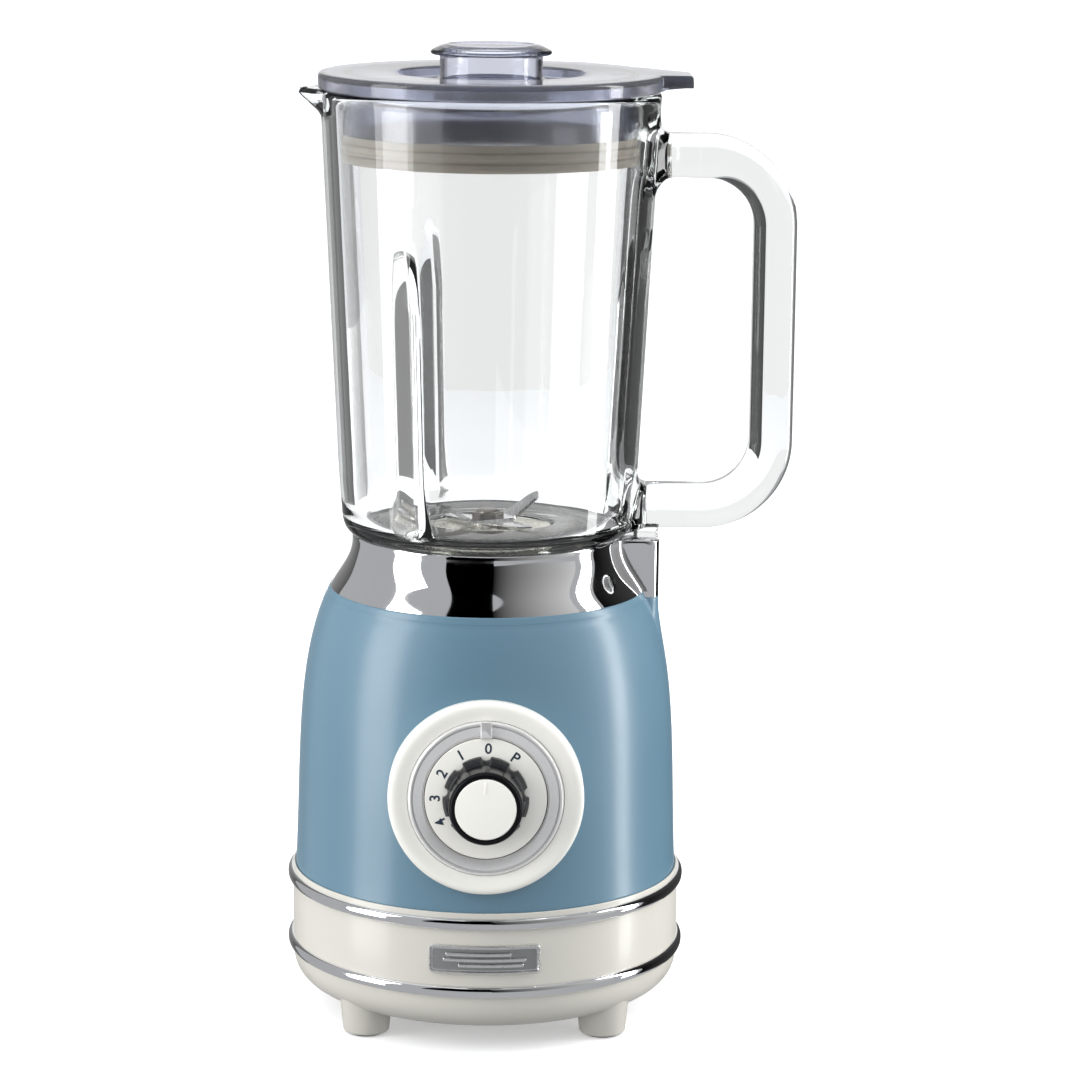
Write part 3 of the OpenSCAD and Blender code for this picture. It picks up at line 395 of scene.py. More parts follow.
def base_material(name, colour, roughness, metallic=0.0, **sockets):
    """Principled material with its even values set on the shader's own sockets."""
    mat = bpy.data.materials.new(name)
    mat.use_nodes = True
    shader = mat.node_tree.nodes["Principled BSDF"]
    shader.inputs["Base Color"].default_value = (*colour[:3], 1)
    shader.inputs["Roughness"].default_value = roughness
    shader.inputs["Metallic"].default_value = metallic
    for socket, value in sockets.items():
        shader.inputs[socket.replace("_", " ")].default_value = value
    return mat


def add_node(tree, kind, output, **inputs):
    """Adds a node, sets or links its inputs and gives back one of its outputs."""
    node = tree.nodes.new(kind)
    for socket, value in inputs.items():
        target = node.inputs[socket.replace("_", " ")]
        if isinstance(value, bpy.types.NodeSocket):
            link(tree, value, target)
        else:
            target.default_value = value
    return node.outputs[output]


def feed(mat, source, socket):
    """Links a value into the material's shader."""
    link(mat.node_tree, source, mat.node_tree.nodes["Principled BSDF"].inputs[socket])


def coordinates(mat, stretch=(1, 1, 1), turn=(0, 0, 0)):
    """Object coordinates, stretched and turned."""
    place = add_node(mat.node_tree, "ShaderNodeTexCoord", "Object")
    vector = add_node(mat.node_tree, "ShaderNodeMapping", "Vector", Vector=place)
    vector.node.vector_type = "TEXTURE"
    vector.node.inputs["Rotation"].default_value = turn
    vector.node.inputs["Scale"].default_value = stretch
    return vector


def noise(mat, vector, scale, detail=3.0, roughness=0.5):
    """Noise factor at a scale per metre."""
    return add_node(
        mat.node_tree, "ShaderNodeTexNoise", "Fac", Vector=vector, Scale=scale, Detail=detail,
        Roughness=roughness)


def bands(mat, vector, scale, direction="Z", profile="SIN", distortion=0.0):
    """Wave factor of straight bands."""
    wave = add_node(
        mat.node_tree, "ShaderNodeTexWave", "Fac", Vector=vector, Scale=scale, Distortion=distortion)
    wave.node.bands_direction = direction
    wave.node.wave_profile = profile
    return wave


def vary_colour(mat, factor, dark, light, start=0.3, end=0.7):
    """Base colour between two tints along a factor."""
    colour = add_node(mat.node_tree, "ShaderNodeValToRGB", "Color", Fac=factor)
    for stop, position, shade in zip(colour.node.color_ramp.elements, (start, end), (dark, light)):
        stop.position = position
        stop.color = (*shade[:3], 1)
    feed(mat, colour, "Base Color")


def map_range(tree, value, from_min, from_max, to_min, to_max):
    """The value's share of its own range, taken over to another range."""
    return add_node(
        tree, "ShaderNodeMapRange", "Result", Value=value, From_Min=from_min, From_Max=from_max,
        To_Min=to_min, To_Max=to_max)


def vary_roughness(mat, factor, least, most):
    """Roughness between two values along a factor."""
    feed(mat, map_range(mat.node_tree, factor, 0.3, 0.7, least, most), "Roughness")


def emboss(mat, factor, height_mm):
    """Bump of a height in millimetres."""
    bump = add_node(
        mat.node_tree, "ShaderNodeBump", "Normal", Strength=1.0, Distance=height_mm * MM, Height=factor)
    feed(mat, bump, "Normal")


def skin(mat, vector, gloss_scale, least, most, bump_scale, height_mm, detail=2.0, gloss_detail=3.0):
    """Uneven gloss and a fine bump."""
    vary_roughness(mat, noise(mat, vector, gloss_scale, detail=gloss_detail), least, most)
    emboss(mat, noise(mat, vector, bump_scale, detail=detail), height_mm)


def tint(colour, share):
    """A colour made lighter or darker by a share."""
    return tuple(min(c * (1 + share), 1) for c in colour[:3])


def grained(name, colour, roughness, metallic=0.0, spread=0.05, patch=60, grain=1500, height=0.01, **sockets):
    """Moulded or machined finish: cloudy tint, uneven gloss and a fine grain."""
    mat = base_material(name, colour, roughness, metallic, **sockets)
    vector = coordinates(mat)
    vary_colour(mat, noise(mat, vector, patch), tint(colour, -spread), tint(colour, spread))
    skin(mat, vector, patch * 3, roughness - 0.05, roughness + 0.05, grain, height, detail=1.0)
    return mat


def satin_paint(colour):
    """Satin metallic paint: fine flakes and a faint orange peel under a thin clear coat."""
    mat = base_material("Satin_paint", colour, 0.36, 0.0, Coat_Weight=0.5, Coat_Roughness=0.2, Coat_IOR=1.5)
    vector = coordinates(mat)
    flakes = noise(mat, vector, 5200, detail=1.0)
    vary_colour(mat, flakes, tint(colour, -0.05), tint(colour, 0.06), 0.25, 0.75)
    skin(mat, vector, 40, 0.33, 0.4, 420, 0.006)
    return mat


def cream_gloss(name, colour):
    """Smooth cream enamel with a soft gloss."""
    mat = base_material(name, colour, 0.3, 0.0, Coat_Weight=0.25, Coat_Roughness=0.1)
    vector = coordinates(mat)
    vary_colour(mat, noise(mat, vector, 25), tint(colour, -0.005), tint(colour, 0.005), 0.1, 0.9)
    skin(mat, vector, 70, 0.29, 0.32, 380, 0.005)
    return mat


def mirror_chrome():
    """Polished plating with faint wipe marks in its gloss."""
    colour = (0.86, 0.86, 0.87)
    mat = base_material("Mirror_chrome", colour, 0.04, 1.0)
    vector = coordinates(mat)
    vary_colour(mat, noise(mat, vector, 30), (0.84, 0.84, 0.85), (0.88, 0.88, 0.885))
    skin(mat, vector, 55, 0.025, 0.075, 26, 0.012, detail=1.0, gloss_detail=5.0)
    return mat


def brushed(name, colour, roughness, stretch, metallic=1.0, height=0.004, scale=900):
    """Brushed metal: noise drawn out along the stroke."""
    mat = base_material(name, colour, roughness, metallic)
    strokes = noise(mat, coordinates(mat, stretch), scale, detail=4.0, roughness=0.65)
    vary_colour(mat, strokes, tint(colour, -0.1), tint(colour, 0.1))
    vary_roughness(mat, strokes, roughness - 0.08, roughness + 0.1)
    emboss(mat, strokes, height)
    return mat


def jar_glass():
    """Clear pressed glass with a trace of green in its depth and slow waves in its skin."""
    mat = base_material("Jar_glass", (1, 1, 1), 0.0, 0.0, Transmission_Weight=1.0, IOR=1.5)
    skin(mat, coordinates(mat), 60, 0.0, 0.01, 38, 0.035, detail=1.0)
    absorb(mat, (0.9, 0.955, 0.925), 14)
    return mat


def absorb(mat, colour, density):
    """Tint that deepens with the thickness."""
    tree = mat.node_tree
    volume = add_node(
        tree, "ShaderNodeVolumeAbsorption", "Volume", Color=(*colour[:3], 1), Density=density)
    link(tree, volume, tree.nodes["Material Output"].inputs["Volume"])


def clear_plastic(name, colour, density, roughness, milky=0.0):
    """Translucent moulded plastic with faint flow marks."""
    mat = base_material(name, (0.9, 0.91, 0.96), roughness, 0.0, Transmission_Weight=1.0 - milky, IOR=1.46)
    skin(mat, coordinates(mat), 90, roughness * 0.6, roughness * 1.5, 55, 0.02, detail=1.0)
    absorb(mat, colour, density)
    return mat


# Operators


def mm(value):
    """A setting's length in millimetres."""
    return value / MM


def shell_curve(wall):
    """Half outline of the painted shell, moved inwards by a wall."""
    foot_r = BAND_R - 1.2 - wall
    top_r = COLLAR_FOOT_R + 0.4 - wall
    rise = SHELL_TOP - SHELL_FOOT
    return curve(
        (foot_r, SHELL_FOOT), (foot_r - 2.4, SHELL_FOOT + 0.42 * rise),
        (foot_r + 0.4, SHELL_FOOT + 0.745 * rise), (top_r, SHELL_TOP), 40)


def block_radius(turn, half, corner=5):
    """Distance from the axis to the outside of the handle's block along a turn, or 0 off it."""
    off = abs(turn)
    if off >= math.radians(60):
        return 0
    flat = BLOCK_X / math.cos(off)
    if flat * math.sin(off) <= half - corner:
        return flat
    centre = Vector((BLOCK_X - corner, half - corner))
    ray = Vector((math.cos(off), math.sin(off)))
    miss = centre.x * ray.y - centre.y * ray.x
    if abs(miss) < corner:
        reach = centre.dot(ray) + math.sqrt(corner * corner - miss * miss)
        if reach * ray.x >= centre.x:
            return reach
    return half / ray.y


# The turn is stepped finely where the block stands out
BLOCK_ARCS = ((34, 136), (326, 163))
BLOCK_START = -17


LEG_TURN = 43.5                # angle of the front right leg from +X, the others mirrored


class BLENDER_OT_base(bpy.types.Operator):
    """Models the cream pan with its legs and pads, the band and the two trim rings"""

    bl_idname = "countertop.base"
    bl_label = "Base"

    def execute(self, context):
        s = context.scene.blender_housing
        # Shaded copy of the cream: its darker colour paints the shade on the pan, legs and band
        cream = cream_gloss("Cream_with_painted_shade", s.cream)
        wall = mm(s.band_wall)
        floor_z, pad_r, pad_z = 9, 7.5, 0.8

        def pan_curve(inwards):
            r, z = BAND_R - inwards, floor_z + inwards
            return curve((r - 28 + inwards, z), (r - 9, z), (r, z + 3), (r, PAN_TOP - 3), 24)
        pan = lathe([(0, floor_z), *pan_curve(0), (BAND_R, PAN_TOP), (BAND_R - wall, PAN_TOP),
                     *reversed(pan_curve(wall)), (0, floor_z + wall)], 128)
        leg_r = mm(s.leg_radius)
        leg = [(0, 3), (pad_r, 3), (pad_r, pad_z), (leg_r - 1.3, pad_z, 1.1), (leg_r - 0.2, 12),
               (leg_r + 0.6, 16), (0, 16)]
        angles = (LEG_TURN, 180 - LEG_TURN, 180 + LEG_TURN, 360 - LEG_TURN)
        ring = mm(s.leg_ring)
        join(pan, around(lambda: lathe(leg, 64), ring, angles))
        piece("Pan", pan, cream, "base", ["base_pan"])
        pad = [(0, 0), (pad_r - 0.05, 0, 0.5), (pad_r - 0.05, 3), (0, 3)]
        rubber = grained("Pad_rubber", (0.03, 0.03, 0.03), 0.75, height=0.03, grain=1800)
        pads = around(lambda: lathe(pad, 48), ring, angles)
        piece("Pads", pads, rubber, "base", ["foot_pads"])
        lip, ledge = BAND_R - 0.9, BAND_R - 6
        band = [(BAND_R - wall, PAN_TOP), (BAND_R, PAN_TOP), (BAND_R, BAND_TOP, 0.4), (lip, BAND_TOP, 0.3),
                (lip, SHELL_FOOT), (ledge, SHELL_FOOT), (ledge, SHELL_FOOT - 2),
                (BAND_R - wall, SHELL_FOOT - 2)]
        piece("Band", lathe(band, 160), cream, "base", ["base_band"])
        chrome = mirror_chrome()
        half, trim_round = mm(s.trim_height) / 2, 2.1
        for name, node in (("Trim_lower", "lower_trim_ring"), ("Trim_upper", "upper_trim_ring")):
            middle = (low(node, 2) + high(node, 2)) / 2
            inner, outer = BAND_R - 0.8, high(node, 0)
            strip = [(inner, middle - half), (outer, middle - half, trim_round),
                     (outer, middle + half, trim_round), (inner, middle + half)]
            piece(name, lathe(strip, 160), chrome, "base", [node])
        return {"FINISHED"}


BEND_STEPS = 24                # flat stretches that the bent badge is cut into


class BLENDER_OT_badge(bpy.types.Operator):
    """Models the curved metal plate on the band, with plain raised bars in its field"""

    bl_idname = "countertop.badge"
    bl_label = "Badge plate"

    def execute(self, context):
        width = high("badge_plate", 0) - low("badge_plate", 0)
        height = high("badge_plate", 2) - low("badge_plate", 2)
        middle = (high("badge_plate", 2) + low("badge_plate", 2)) / 2
        metal = brushed("Badge_metal", (0.82, 0.82, 0.81), 0.3, (14, 1, 1), height=0.003, scale=1600)
        dark = brushed("Badge_field", (0.42, 0.42, 0.42), 0.42, (10, 1, 1), height=0.006, scale=2200)

        def bent(part):
            for i in range(1, BEND_STEPS):
                cut_across(part, (i / BEND_STEPS - 0.5) * width)
            for vert in part.verts:
                turn = vert.co.x / (BAND_R * MM)
                radius = BAND_R * MM + vert.co.z
                vert.co = (radius * math.sin(turn), -radius * math.cos(turn), middle * MM + vert.co.y)
            return part
        badge = slab(width, height, -0.3, 1.3, corner=2.0)
        top = max((f for f in badge.faces if f.normal.z > 0.9), key=lambda f: f.calc_area())
        for thickness, depth in ((0.35, 0.45), (0.5, 0), (0.4, -0.75)):
            bmesh.ops.inset_region(badge, faces=[top], thickness=thickness * MM, depth=depth * MM)
        piece("Badge", bent(badge), metal, "base", ["badge_plate"])
        field = slab(width - 3.2, height - 3.2, 0.6, 1.06, corner=1.1)
        piece("Badge_field", bent(field), dark, "base")
        bars = bmesh.new()
        bar_width, bar_top = 1.45, 1.75
        for x, y, length in ((-2.5, 2.3, 26), (0, 0, 33), (2.5, -2.3, 26)):
            join(bars, slab(length, bar_width, 0.9, bar_top, corner=0.5, edge=0.25, centre=(x, y)))
        piece("Badge_bars", bent(bars), metal, "base")
        return {"FINISHED"}


class BLENDER_OT_shell(bpy.types.Operator):
    """Models the painted body shell and the polished collar, each with its share of the handle's block"""

    bl_idname = "countertop.shell"
    bl_label = "Body shell and collar"

    def execute(self, context):
        s = context.scene.blender_housing
        wall, half = mm(s.shell_wall), mm(s.block_half)
        neck_r = mm(s.neck_radius)
        outer = shell_curve(0)
        below = [p for p in outer if p[1] < BLOCK_FOOT - 0.9]
        above = [p for p in outer if p[1] > BLOCK_FOOT + 0.3]
        seam_r = below[-1][0] + (above[0][0] - below[-1][0]) * 0.5
        inner = [p for p in shell_curve(wall) if p[1] < SHELL_TOP - 2]
        line = [*below, (seam_r, BLOCK_FOOT - 0.5), (seam_r, BLOCK_FOOT), (seam_r - 0.1, BLOCK_FOOT + 0.02),
                *above[:-1], (above[-1][0], SHELL_TOP, 0.5), (neck_r - 0.5, SHELL_TOP),
                (neck_r - 0.5, SHELL_TOP - 1.6), *reversed(inner)]

        def with_bump(radius, turn, height):
            if height <= BLOCK_FOOT + 0.001 and radius > max(BAND_R - 16.5, shell_radius(height) - 0.6):
                edge = 0.5 * ramp(height, BLOCK_FOOT - 0.5, BLOCK_FOOT)
                return smooth_max(radius, block_radius(turn, half) - edge, 4.0), height
            return radius, height

        def shell_radius(height):
            for p, q in zip(outer, outer[1:]):
                if q[1] >= height:
                    return p[0] + (q[0] - p[0]) * max(height - p[1], 0) / (q[1] - p[1])
            return outer[-1][0]
        shell = reshape(turned(line, BLOCK_ARCS, BLOCK_START), with_bump)
        piece("Body_shell", shell, satin_paint(s.paint), "base", ["body_shell"])

        rise = COLLAR_TOP - SHELL_TOP

        def collar_curve(inwards):
            return curve(
                (COLLAR_FOOT_R - inwards, SHELL_TOP), (neck_r + 5 - inwards, SHELL_TOP + 0.31 * rise),
                (neck_r - inwards, SHELL_TOP + 0.52 * rise), (neck_r - inwards, SHELL_TOP + 0.86 * rise), 24)
        line = [(COLLAR_FOOT_R - 3.3, BLOCK_FOOT), (COLLAR_FOOT_R - 2.8, BLOCK_FOOT), *collar_curve(0),
                *((neck_r, BLOCK_TOP + step) for step in (-0.8, -0.4, 0, 0.02)),
                (neck_r, COLLAR_TOP - 0.5), (neck_r - 0.2, COLLAR_TOP - 0.1), (neck_r - 0.5, COLLAR_TOP),
                (neck_r - 1.6, COLLAR_TOP), *reversed(collar_curve(1.6))]

        def with_block(radius, turn, height):
            if BLOCK_FOOT - 0.1 < height < BLOCK_TOP + 0.01 and is_outside(radius, height):
                over = min(max(height - (BLOCK_TOP - 0.8), 0) / 0.8, 1)
                block = block_radius(turn, half) - 0.8 * (1 - math.sqrt(1 - over * over))
                if height < SHELL_TOP - 1:
                    return (block if block > COLLAR_FOOT_R + 1.8 else radius), height
                return smooth_max(radius, block, 3.5), height
            return radius, height

        def is_outside(radius, height):
            if height < SHELL_TOP - 1:
                return radius > COLLAR_FOOT_R - 3
            return radius > neck_r - 0.05 and not any(
                abs(p[0] - radius) < 0.02 and abs(p[1] - height) < 0.02 for p in collar_curve(1.6))
        collar = reshape(turned(line, BLOCK_ARCS, BLOCK_START), with_block)
        chrome = bpy.data.materials["Mirror_chrome"]
        piece("Collar", collar, chrome, "base", ["chrome_collar"])
        return {"FINISHED"}


NOTCH_HALF = 2.1               # half the width of a notch in the knob's skirt
NOTCH_DEPTH = 1.7              # depth of a notch
KNOB_FRONT = 25.1              # height of the knob's rim on the dial's axis
MARK_RING = 20.3               # distance of the numbers' tops from the dial's axis
MARKS = (("P", 35), ("0", 2.5), ("1", -30), ("2", -60), ("3", -89.5), ("4", -118))


def dial_place():
    """Puts a piece modelled along Z on the dial's axis, its top towards the lid."""
    tilt = math.atan2(DIAL_AXIS.z, -DIAL_AXIS.y)
    return Matrix.Translation(DIAL_AT) @ Matrix.Rotation(math.pi / 2 - tilt, 4, "X")


class BLENDER_OT_dial(bpy.types.Operator):
    """Models the bezel, the polished ring with its marker, the numbered disc and the knob"""

    bl_idname = "countertop.dial"
    bl_label = "Dial"

    def execute(self, context):
        s = context.scene.blender_dial
        place = dial_place()
        bezel_r, ring_r, disc_r = mm(s.bezel_radius), mm(s.ring_radius), mm(s.disc_radius)
        # Lit copy of the cream: its brighter colour paints the front light on the bezel, disc and knob cap
        cream = cream_gloss("Cream_with_painted_light", s.cream)
        bezel = [(ring_r - 0.7, -12), (bezel_r, -12),
                 *curve((bezel_r, 1.5), (bezel_r, 2.8), (bezel_r - 0.9, 3.6), (bezel_r - 2.4, 3.7), 10),
                 *curve((bezel_r - 2.7, 3.7), (bezel_r - 4.4, 3.6), (ring_r + 2.1, 3.1),
                        (ring_r + 0.15, 2.8), 8),
                 (ring_r + 0.15, -2), (ring_r - 0.7, -2)]
        piece("Bezel", lathe(bezel, 160), cream, "base", ["dial_bezel"], place)
        back = [(0, -3), (ring_r - 0.5, -3), (ring_r - 0.5, 1), (0, 1)]
        dark = grained("Dark_plastic", (0.02, 0.02, 0.021), 0.5, height=0.02)
        piece("Dial_back", lathe(back, 96), dark, "base", (), place)
        ring = [(disc_r + 0.4, 1), (ring_r, 1), (ring_r, 2.9, 0.3), (ring_r - 0.9, 4.3, 0.4),
                (ring_r - 1.7, 4.2, 0.3), (ring_r - 2.2, 3.8), (disc_r + 0.9, 3.5, 0.2), (disc_r + 0.4, 3.1)]
        polished = brushed(
            "Dial_ring", (0.93, 0.91, 0.9), 0.14, (1, 1, 1), metallic=0.55, height=0.0004, scale=2600)
        marker = slab(
            4.4, ring_r - disc_r - 0.2, 1.0, 5.1, corner=0.25, edge=0.35, centre=(0, (ring_r + disc_r) / 2))
        rim = lathe(ring, 160)
        piece("Dial_ring", rim, polished, "base", ["dial_ring"], place)
        piece("Dial_marker", marker, polished, "base", (), place)
        disc = [(0, 1.5), (disc_r, 1.5), (disc_r, 3.5, 0.35), (0, 3.5)]
        piece("Dial_disc", lathe(disc, 128), cream, "dial", ["dial_disc"], place)
        self.numbers(s, place)
        self.knob(s, place, cream)
        return {"FINISHED"}

    def numbers(self, s, place):
        """Numbers printed on the disc, their tops outwards."""
        ink = grained("Number_ink", s.ink, 0.45, height=0.004, spread=0.12, patch=900)
        marks = bmesh.new()
        for mark, turn in MARKS:
            text = bpy.data.curves.new(mark, "FONT")
            text.body = mark
            text.size = 1
            text.align_x = "CENTER"
            text.resolution_u = 6
            text.offset = 0.02
            obj = bpy.data.objects.new("Mark", text)
            bpy.context.collection.objects.link(obj)
            bpy.context.view_layer.update()
            mesh = bpy.data.meshes.new_from_object(obj.evaluated_get(bpy.context.evaluated_depsgraph_get()))
            bpy.data.objects.remove(obj)
            part = bmesh.new()
            part.from_mesh(mesh)
            bpy.data.meshes.remove(mesh)
            bmesh.ops.remove_doubles(part, verts=part.verts, dist=1e-5)
            tall = max(v.co.y for v in part.verts) - min(v.co.y for v in part.verts)
            foot = min(v.co.y for v in part.verts)
            size = mm(s.number_height) / tall
            shape = (spin(-turn) @ Matrix.Translation((0, (MARK_RING - tall * size / 2) * MM, 3.49 * MM))
                     @ Matrix.Diagonal((size * MM, size * MM, 1, 1)) @ Matrix.Translation((0, -foot, 0)))
            bmesh.ops.transform(part, matrix=shape, verts=part.verts)
            thickened(part, 0.05, use_keep_orig=True)
            join(marks, part)
        bmesh.ops.recalc_face_normals(marks, faces=marks.faces)
        piece("Dial_numbers", marks, ink, "dial", (), place)

    def knob(self, s, place, cream):
        skirt_r, cap_r = mm(s.skirt_radius), mm(s.cap_radius)
        front = KNOB_FRONT
        notch_turn = 360 / s.notches

        def notched(radius, turn, height):
            off = (turn_from(turn, 90) + notch_turn / 2) % notch_turn - notch_turn / 2
            across = abs(math.radians(off)) * radius / NOTCH_HALF
            if across < 1 and radius > skirt_r - 3:
                return radius - NOTCH_DEPTH * math.sqrt(1 - across * across) * ramp(height, 12, 9), height
            return radius, height

        skirt = [(0, 3.5), (skirt_r, 3.5), (skirt_r, 6.4, 0.5), (skirt_r - 1.3, 9.4, 0.5),
                 (skirt_r - 2.4, 10.4), (0, 10.4)]
        grey = grained("Knob_skirt", (0.012, 0.013, 0.015), 0.3, height=0.006, Specular_IOR_Level=0.2)
        skirt = reshape(lathe(skirt, 360), notched)
        piece("Knob_skirt", skirt, grey, "dial", ["knob"], place)
        seat = front - 1.6
        barrel = [(0, 10), (skirt_r - 2.5, 10), (skirt_r - 2.6, seat, 0.6), (skirt_r - 3.5, front, 0.7),
                  (cap_r + 0.1, front, 0.3), (cap_r + 0.1, seat), (0, seat)]
        gloss = grained(
            "Knob_gloss", (0.005, 0.005, 0.006), 0.2, spread=0.2, height=0.002, Specular_IOR_Level=0.12)
        piece("Knob_barrel", lathe(barrel, 128), gloss, "dial", (), place)
        cap = lathe([(0, seat), (cap_r, seat), (cap_r, front + 0.2, 0.5), (0, front + 0.2)], 96)
        join(cap, slab(0.9, 4.6, front, front + 0.42, corner=0.2, edge=0.15, centre=(0, cap_r - 3.4)))
        piece("Knob_cap", cap, cream, "dial", ["knob_cap"], place)


class BLENDER_OT_jar(bpy.types.Operator):
    """Models the glass jar with its ribs, pouring lip and handle in one skin"""

    bl_idname = "countertop.jar"
    bl_label = "Glass jar"

    def execute(self, context):
        s = context.scene.blender_jug
        wall = mm(s.glass_wall)
        foot_z = COLLAR_TOP + 0.3
        floor_z = foot_z + 3.8
        under_z = floor_z - 6.5
        wall_z, top_z = foot_z + 24, RIM_Z - 9
        wall_r, top_r = 61.5, 68.7
        top_arm, low_arm = RIM_Z - 26, COLLAR_TOP + 11.6

        def outer_r(z):
            return wall_r + (top_r - wall_r) * (z - wall_z) / (top_z - wall_z)
        rim_in = outer_r(RIM_Z) - wall
        rise = [(outer_r(z), z) for z in [wall_z + i * 2.5 for i in range(3)]]
        rise += line_between((outer_r(wall_z + 7.5), wall_z + 7.5), (outer_r(top_arm - 20), top_arm - 20), 12)
        rise += line_between((outer_r(top_arm - 20), top_arm - 20), (outer_r(top_z), top_z), 18)
        inside = [(outer_r(wall_z) - wall + (rim_in - outer_r(wall_z) + wall) * t,
                   wall_z + (RIM_Z - 2 - wall_z) * t) for t in [i / 44 for i in range(45)]]
        line = [
            (27, under_z), (41, under_z, 0.6), (41, NECK_Z, 0.8), (46, NECK_Z, 1.0), (46, under_z, 0.8),
            (50.5, under_z, 0.8), (50.5, foot_z, 0.6), (55, foot_z),
            *curve((56.3, foot_z), (59, foot_z + 1.8), (60.1, foot_z + 4), (60.3, foot_z + 10), 10),
            (60.6, foot_z + 13), (60.95, foot_z + 17), (61.25, foot_z + 21),
            *rise, (top_r, top_z), (top_r + 0.1, RIM_Z - 7), (top_r + 0.2, RIM_Z - 5),
            (top_r + 0.3, RIM_Z - 3.4), (top_r + 0.3, RIM_Z - 1.8), (top_r - 0.2, RIM_Z - 0.7),
            (top_r - 1.3, RIM_Z), (rim_in + 1.6, RIM_Z), (rim_in + 0.5, RIM_Z - 0.5), *reversed(inside),
            *reversed(curve((wall_r - wall - 7, floor_z), (wall_r - wall - 3.5, floor_z),
                            (wall_r - wall - 1, floor_z + 3), (wall_r - wall - 0.5, floor_z + 11), 10)),
            (27, floor_z, 1.2)]
        ribs = (237, 357, 117)
        arcs = ((42, 84), (84, 42), (24, 48), (36, 18), (30, 60), (30, 15), (24, 48), (90, 45))
        rib_reach, rib_top = mm(s.rib_reach), floor_z + mm(s.rib_height)

        def shaped(radius, turn, height):
            middle = outer_r(max(height, wall_z)) - wall / 2
            lip = abs(turn_from(turn, 180))
            if radius > middle and height > RIM_Z - 12:
                reach = (LIP_REACH - 69) * max(1 - max(lip - 1.6, 0) / 11.5, 0) ** 1.1
                return radius + reach * min(max((height - RIM_Z + 10.5) / 8.5, 0), 1), height
            if radius <= middle and height > RIM_Z - 8:
                reach = (LIP_REACH - 1.5 - rim_in) * max(1 - max(lip - 0.5, 0) / 10.5, 0)
                return radius + reach * min(max((height - RIM_Z + 7) / 5.5, 0), 1), height
            if radius <= middle and height > floor_z + 0.05:
                off = min(abs(turn_from(turn, rib)) for rib in ribs)
                across = math.radians(off) * radius
                top = max(min((rib_top - height) / 22, 1), 0)
                foot = ramp(height, floor_z, floor_z + 5)
                width = 5.2 + 3.0 * (1 - ramp(height, floor_z, floor_z + 26))
                shape = max(1 - max(across - 0.9 * top, 0) / width, 0)
                return radius - rib_reach * shape ** 1.15 * math.sqrt(top) * foot, height
            return radius, height
        jar = reshape(turned(line, arcs, -21), shaped)
        self.handle(jar, s, outer_r, top_arm, low_arm, foot_z)
        nub = slab(10, 14, BLOCK_TOP + 0.4, low_arm - 6, corner=2, centre=(BLOCK_X - 5.5, 0))
        join(face_outwards(jar), nub)
        piece("Glass_jar", jar, jar_glass(), "jug", ["glass_jar"])
        return {"FINISHED"}

    def handle(self, jar, s, outer_r, top_arm, low_arm, foot_z):
        """Opens the wall at both arms, sweeps the grip's section and bridges it into the openings."""
        thick, deep, bend = mm(s.grip_thickness), mm(s.grip_depth), mm(s.grip_bend)
        grip_x = GRIP_OUT - thick / 2
        straight = grip_x - bend
        roots = {top_arm: outer_r(top_arm) + 5.5, low_arm: outer_r(low_arm) + 4.5}
        holes = {z: self.opening(jar, z, thick / 2 + 5.5, deep / 2 + 5.5, foot_z + 1.4) for z in roots}
        start = Matrix.Translation((roots[top_arm] * MM, 0, top_arm * MM))
        stand = start @ Matrix.Rotation(math.pi / 2, 4, "Y")
        first = section_loop(jar, thick, deep, 6, stand)
        edges = drawn_out(jar, first, Matrix.Translation(((straight - roots[top_arm]) * MM, 0, 0)))
        edges = swung(jar, edges, (straight, 0, top_arm - bend))
        edges = drawn_out(jar, edges, Matrix.Translation((0, 0, (low_arm - top_arm + 2 * bend) * MM)))
        edges = swung(jar, edges, (straight, 0, low_arm + bend))
        edges = drawn_out(jar, edges, Matrix.Translation(((roots[low_arm] - straight) * MM, 0, 0)))
        for loop, z in ((first, top_arm), (edges, low_arm)):
            soft = []
            for step, grow in ((1.4, 1.02), (1.2, 1.05), (1.0, 1.08), (0.7, 1.1)):
                about = Matrix.Translation((0, 0, z * MM))
                flare = about @ Matrix.Diagonal((1, grow, grow, 1)) @ about.inverted()
                loop = drawn_out(jar, loop, Matrix.Translation((-step * MM, 0, 0)) @ flare)
                soft += loop
            bmesh.ops.bridge_loops(jar, edges=loop + holes[z])
            near = list({v for e in soft + holes[z] for v in e.verts})
            for _ in range(4):
                bmesh.ops.smooth_vert(
                    jar, verts=near, factor=0.5, use_axis_x=True, use_axis_y=True, use_axis_z=True)

    def opening(self, jar, z, half_z, half_y, least_z):
        """Takes out the outer wall's faces behind an arm and gives back the rim of the hole."""
        gone = set()
        for face in jar.faces:
            at = face.calc_center_median() / MM
            outwards = face.normal.x > 0.5 and at.x > 50
            if outwards and abs(at.y) < half_y and max(z - half_z, least_z) < at.z < z + half_z:
                gone.add(face)
        rim = [e for e in {e for f in gone for e in f.edges} if any(f not in gone for f in e.link_faces)]
        bmesh.ops.delete(jar, geom=list(gone), context="FACES")
        return rim


SECTION_STEP = 0.95            # longest edge of the handle's section


def section_loop(bm, width, height, corner, place):
    """Edges of a round-cornered section, put in its place."""
    flat = plate(width, height, corner, steps=10)
    for edge in flat.edges[:]:
        cuts = int(edge.calc_length() / (SECTION_STEP * MM))
        if cuts:
            bmesh.ops.subdivide_edges(flat, edges=[edge], cuts=cuts)
    flat.faces.ensure_lookup_table()
    verts = [bm.verts.new(place @ v.co) for v in flat.faces[0].verts]
    flat.free()
    return [bm.edges.new(pair) for pair in zip(verts, verts[1:] + verts[:1])]


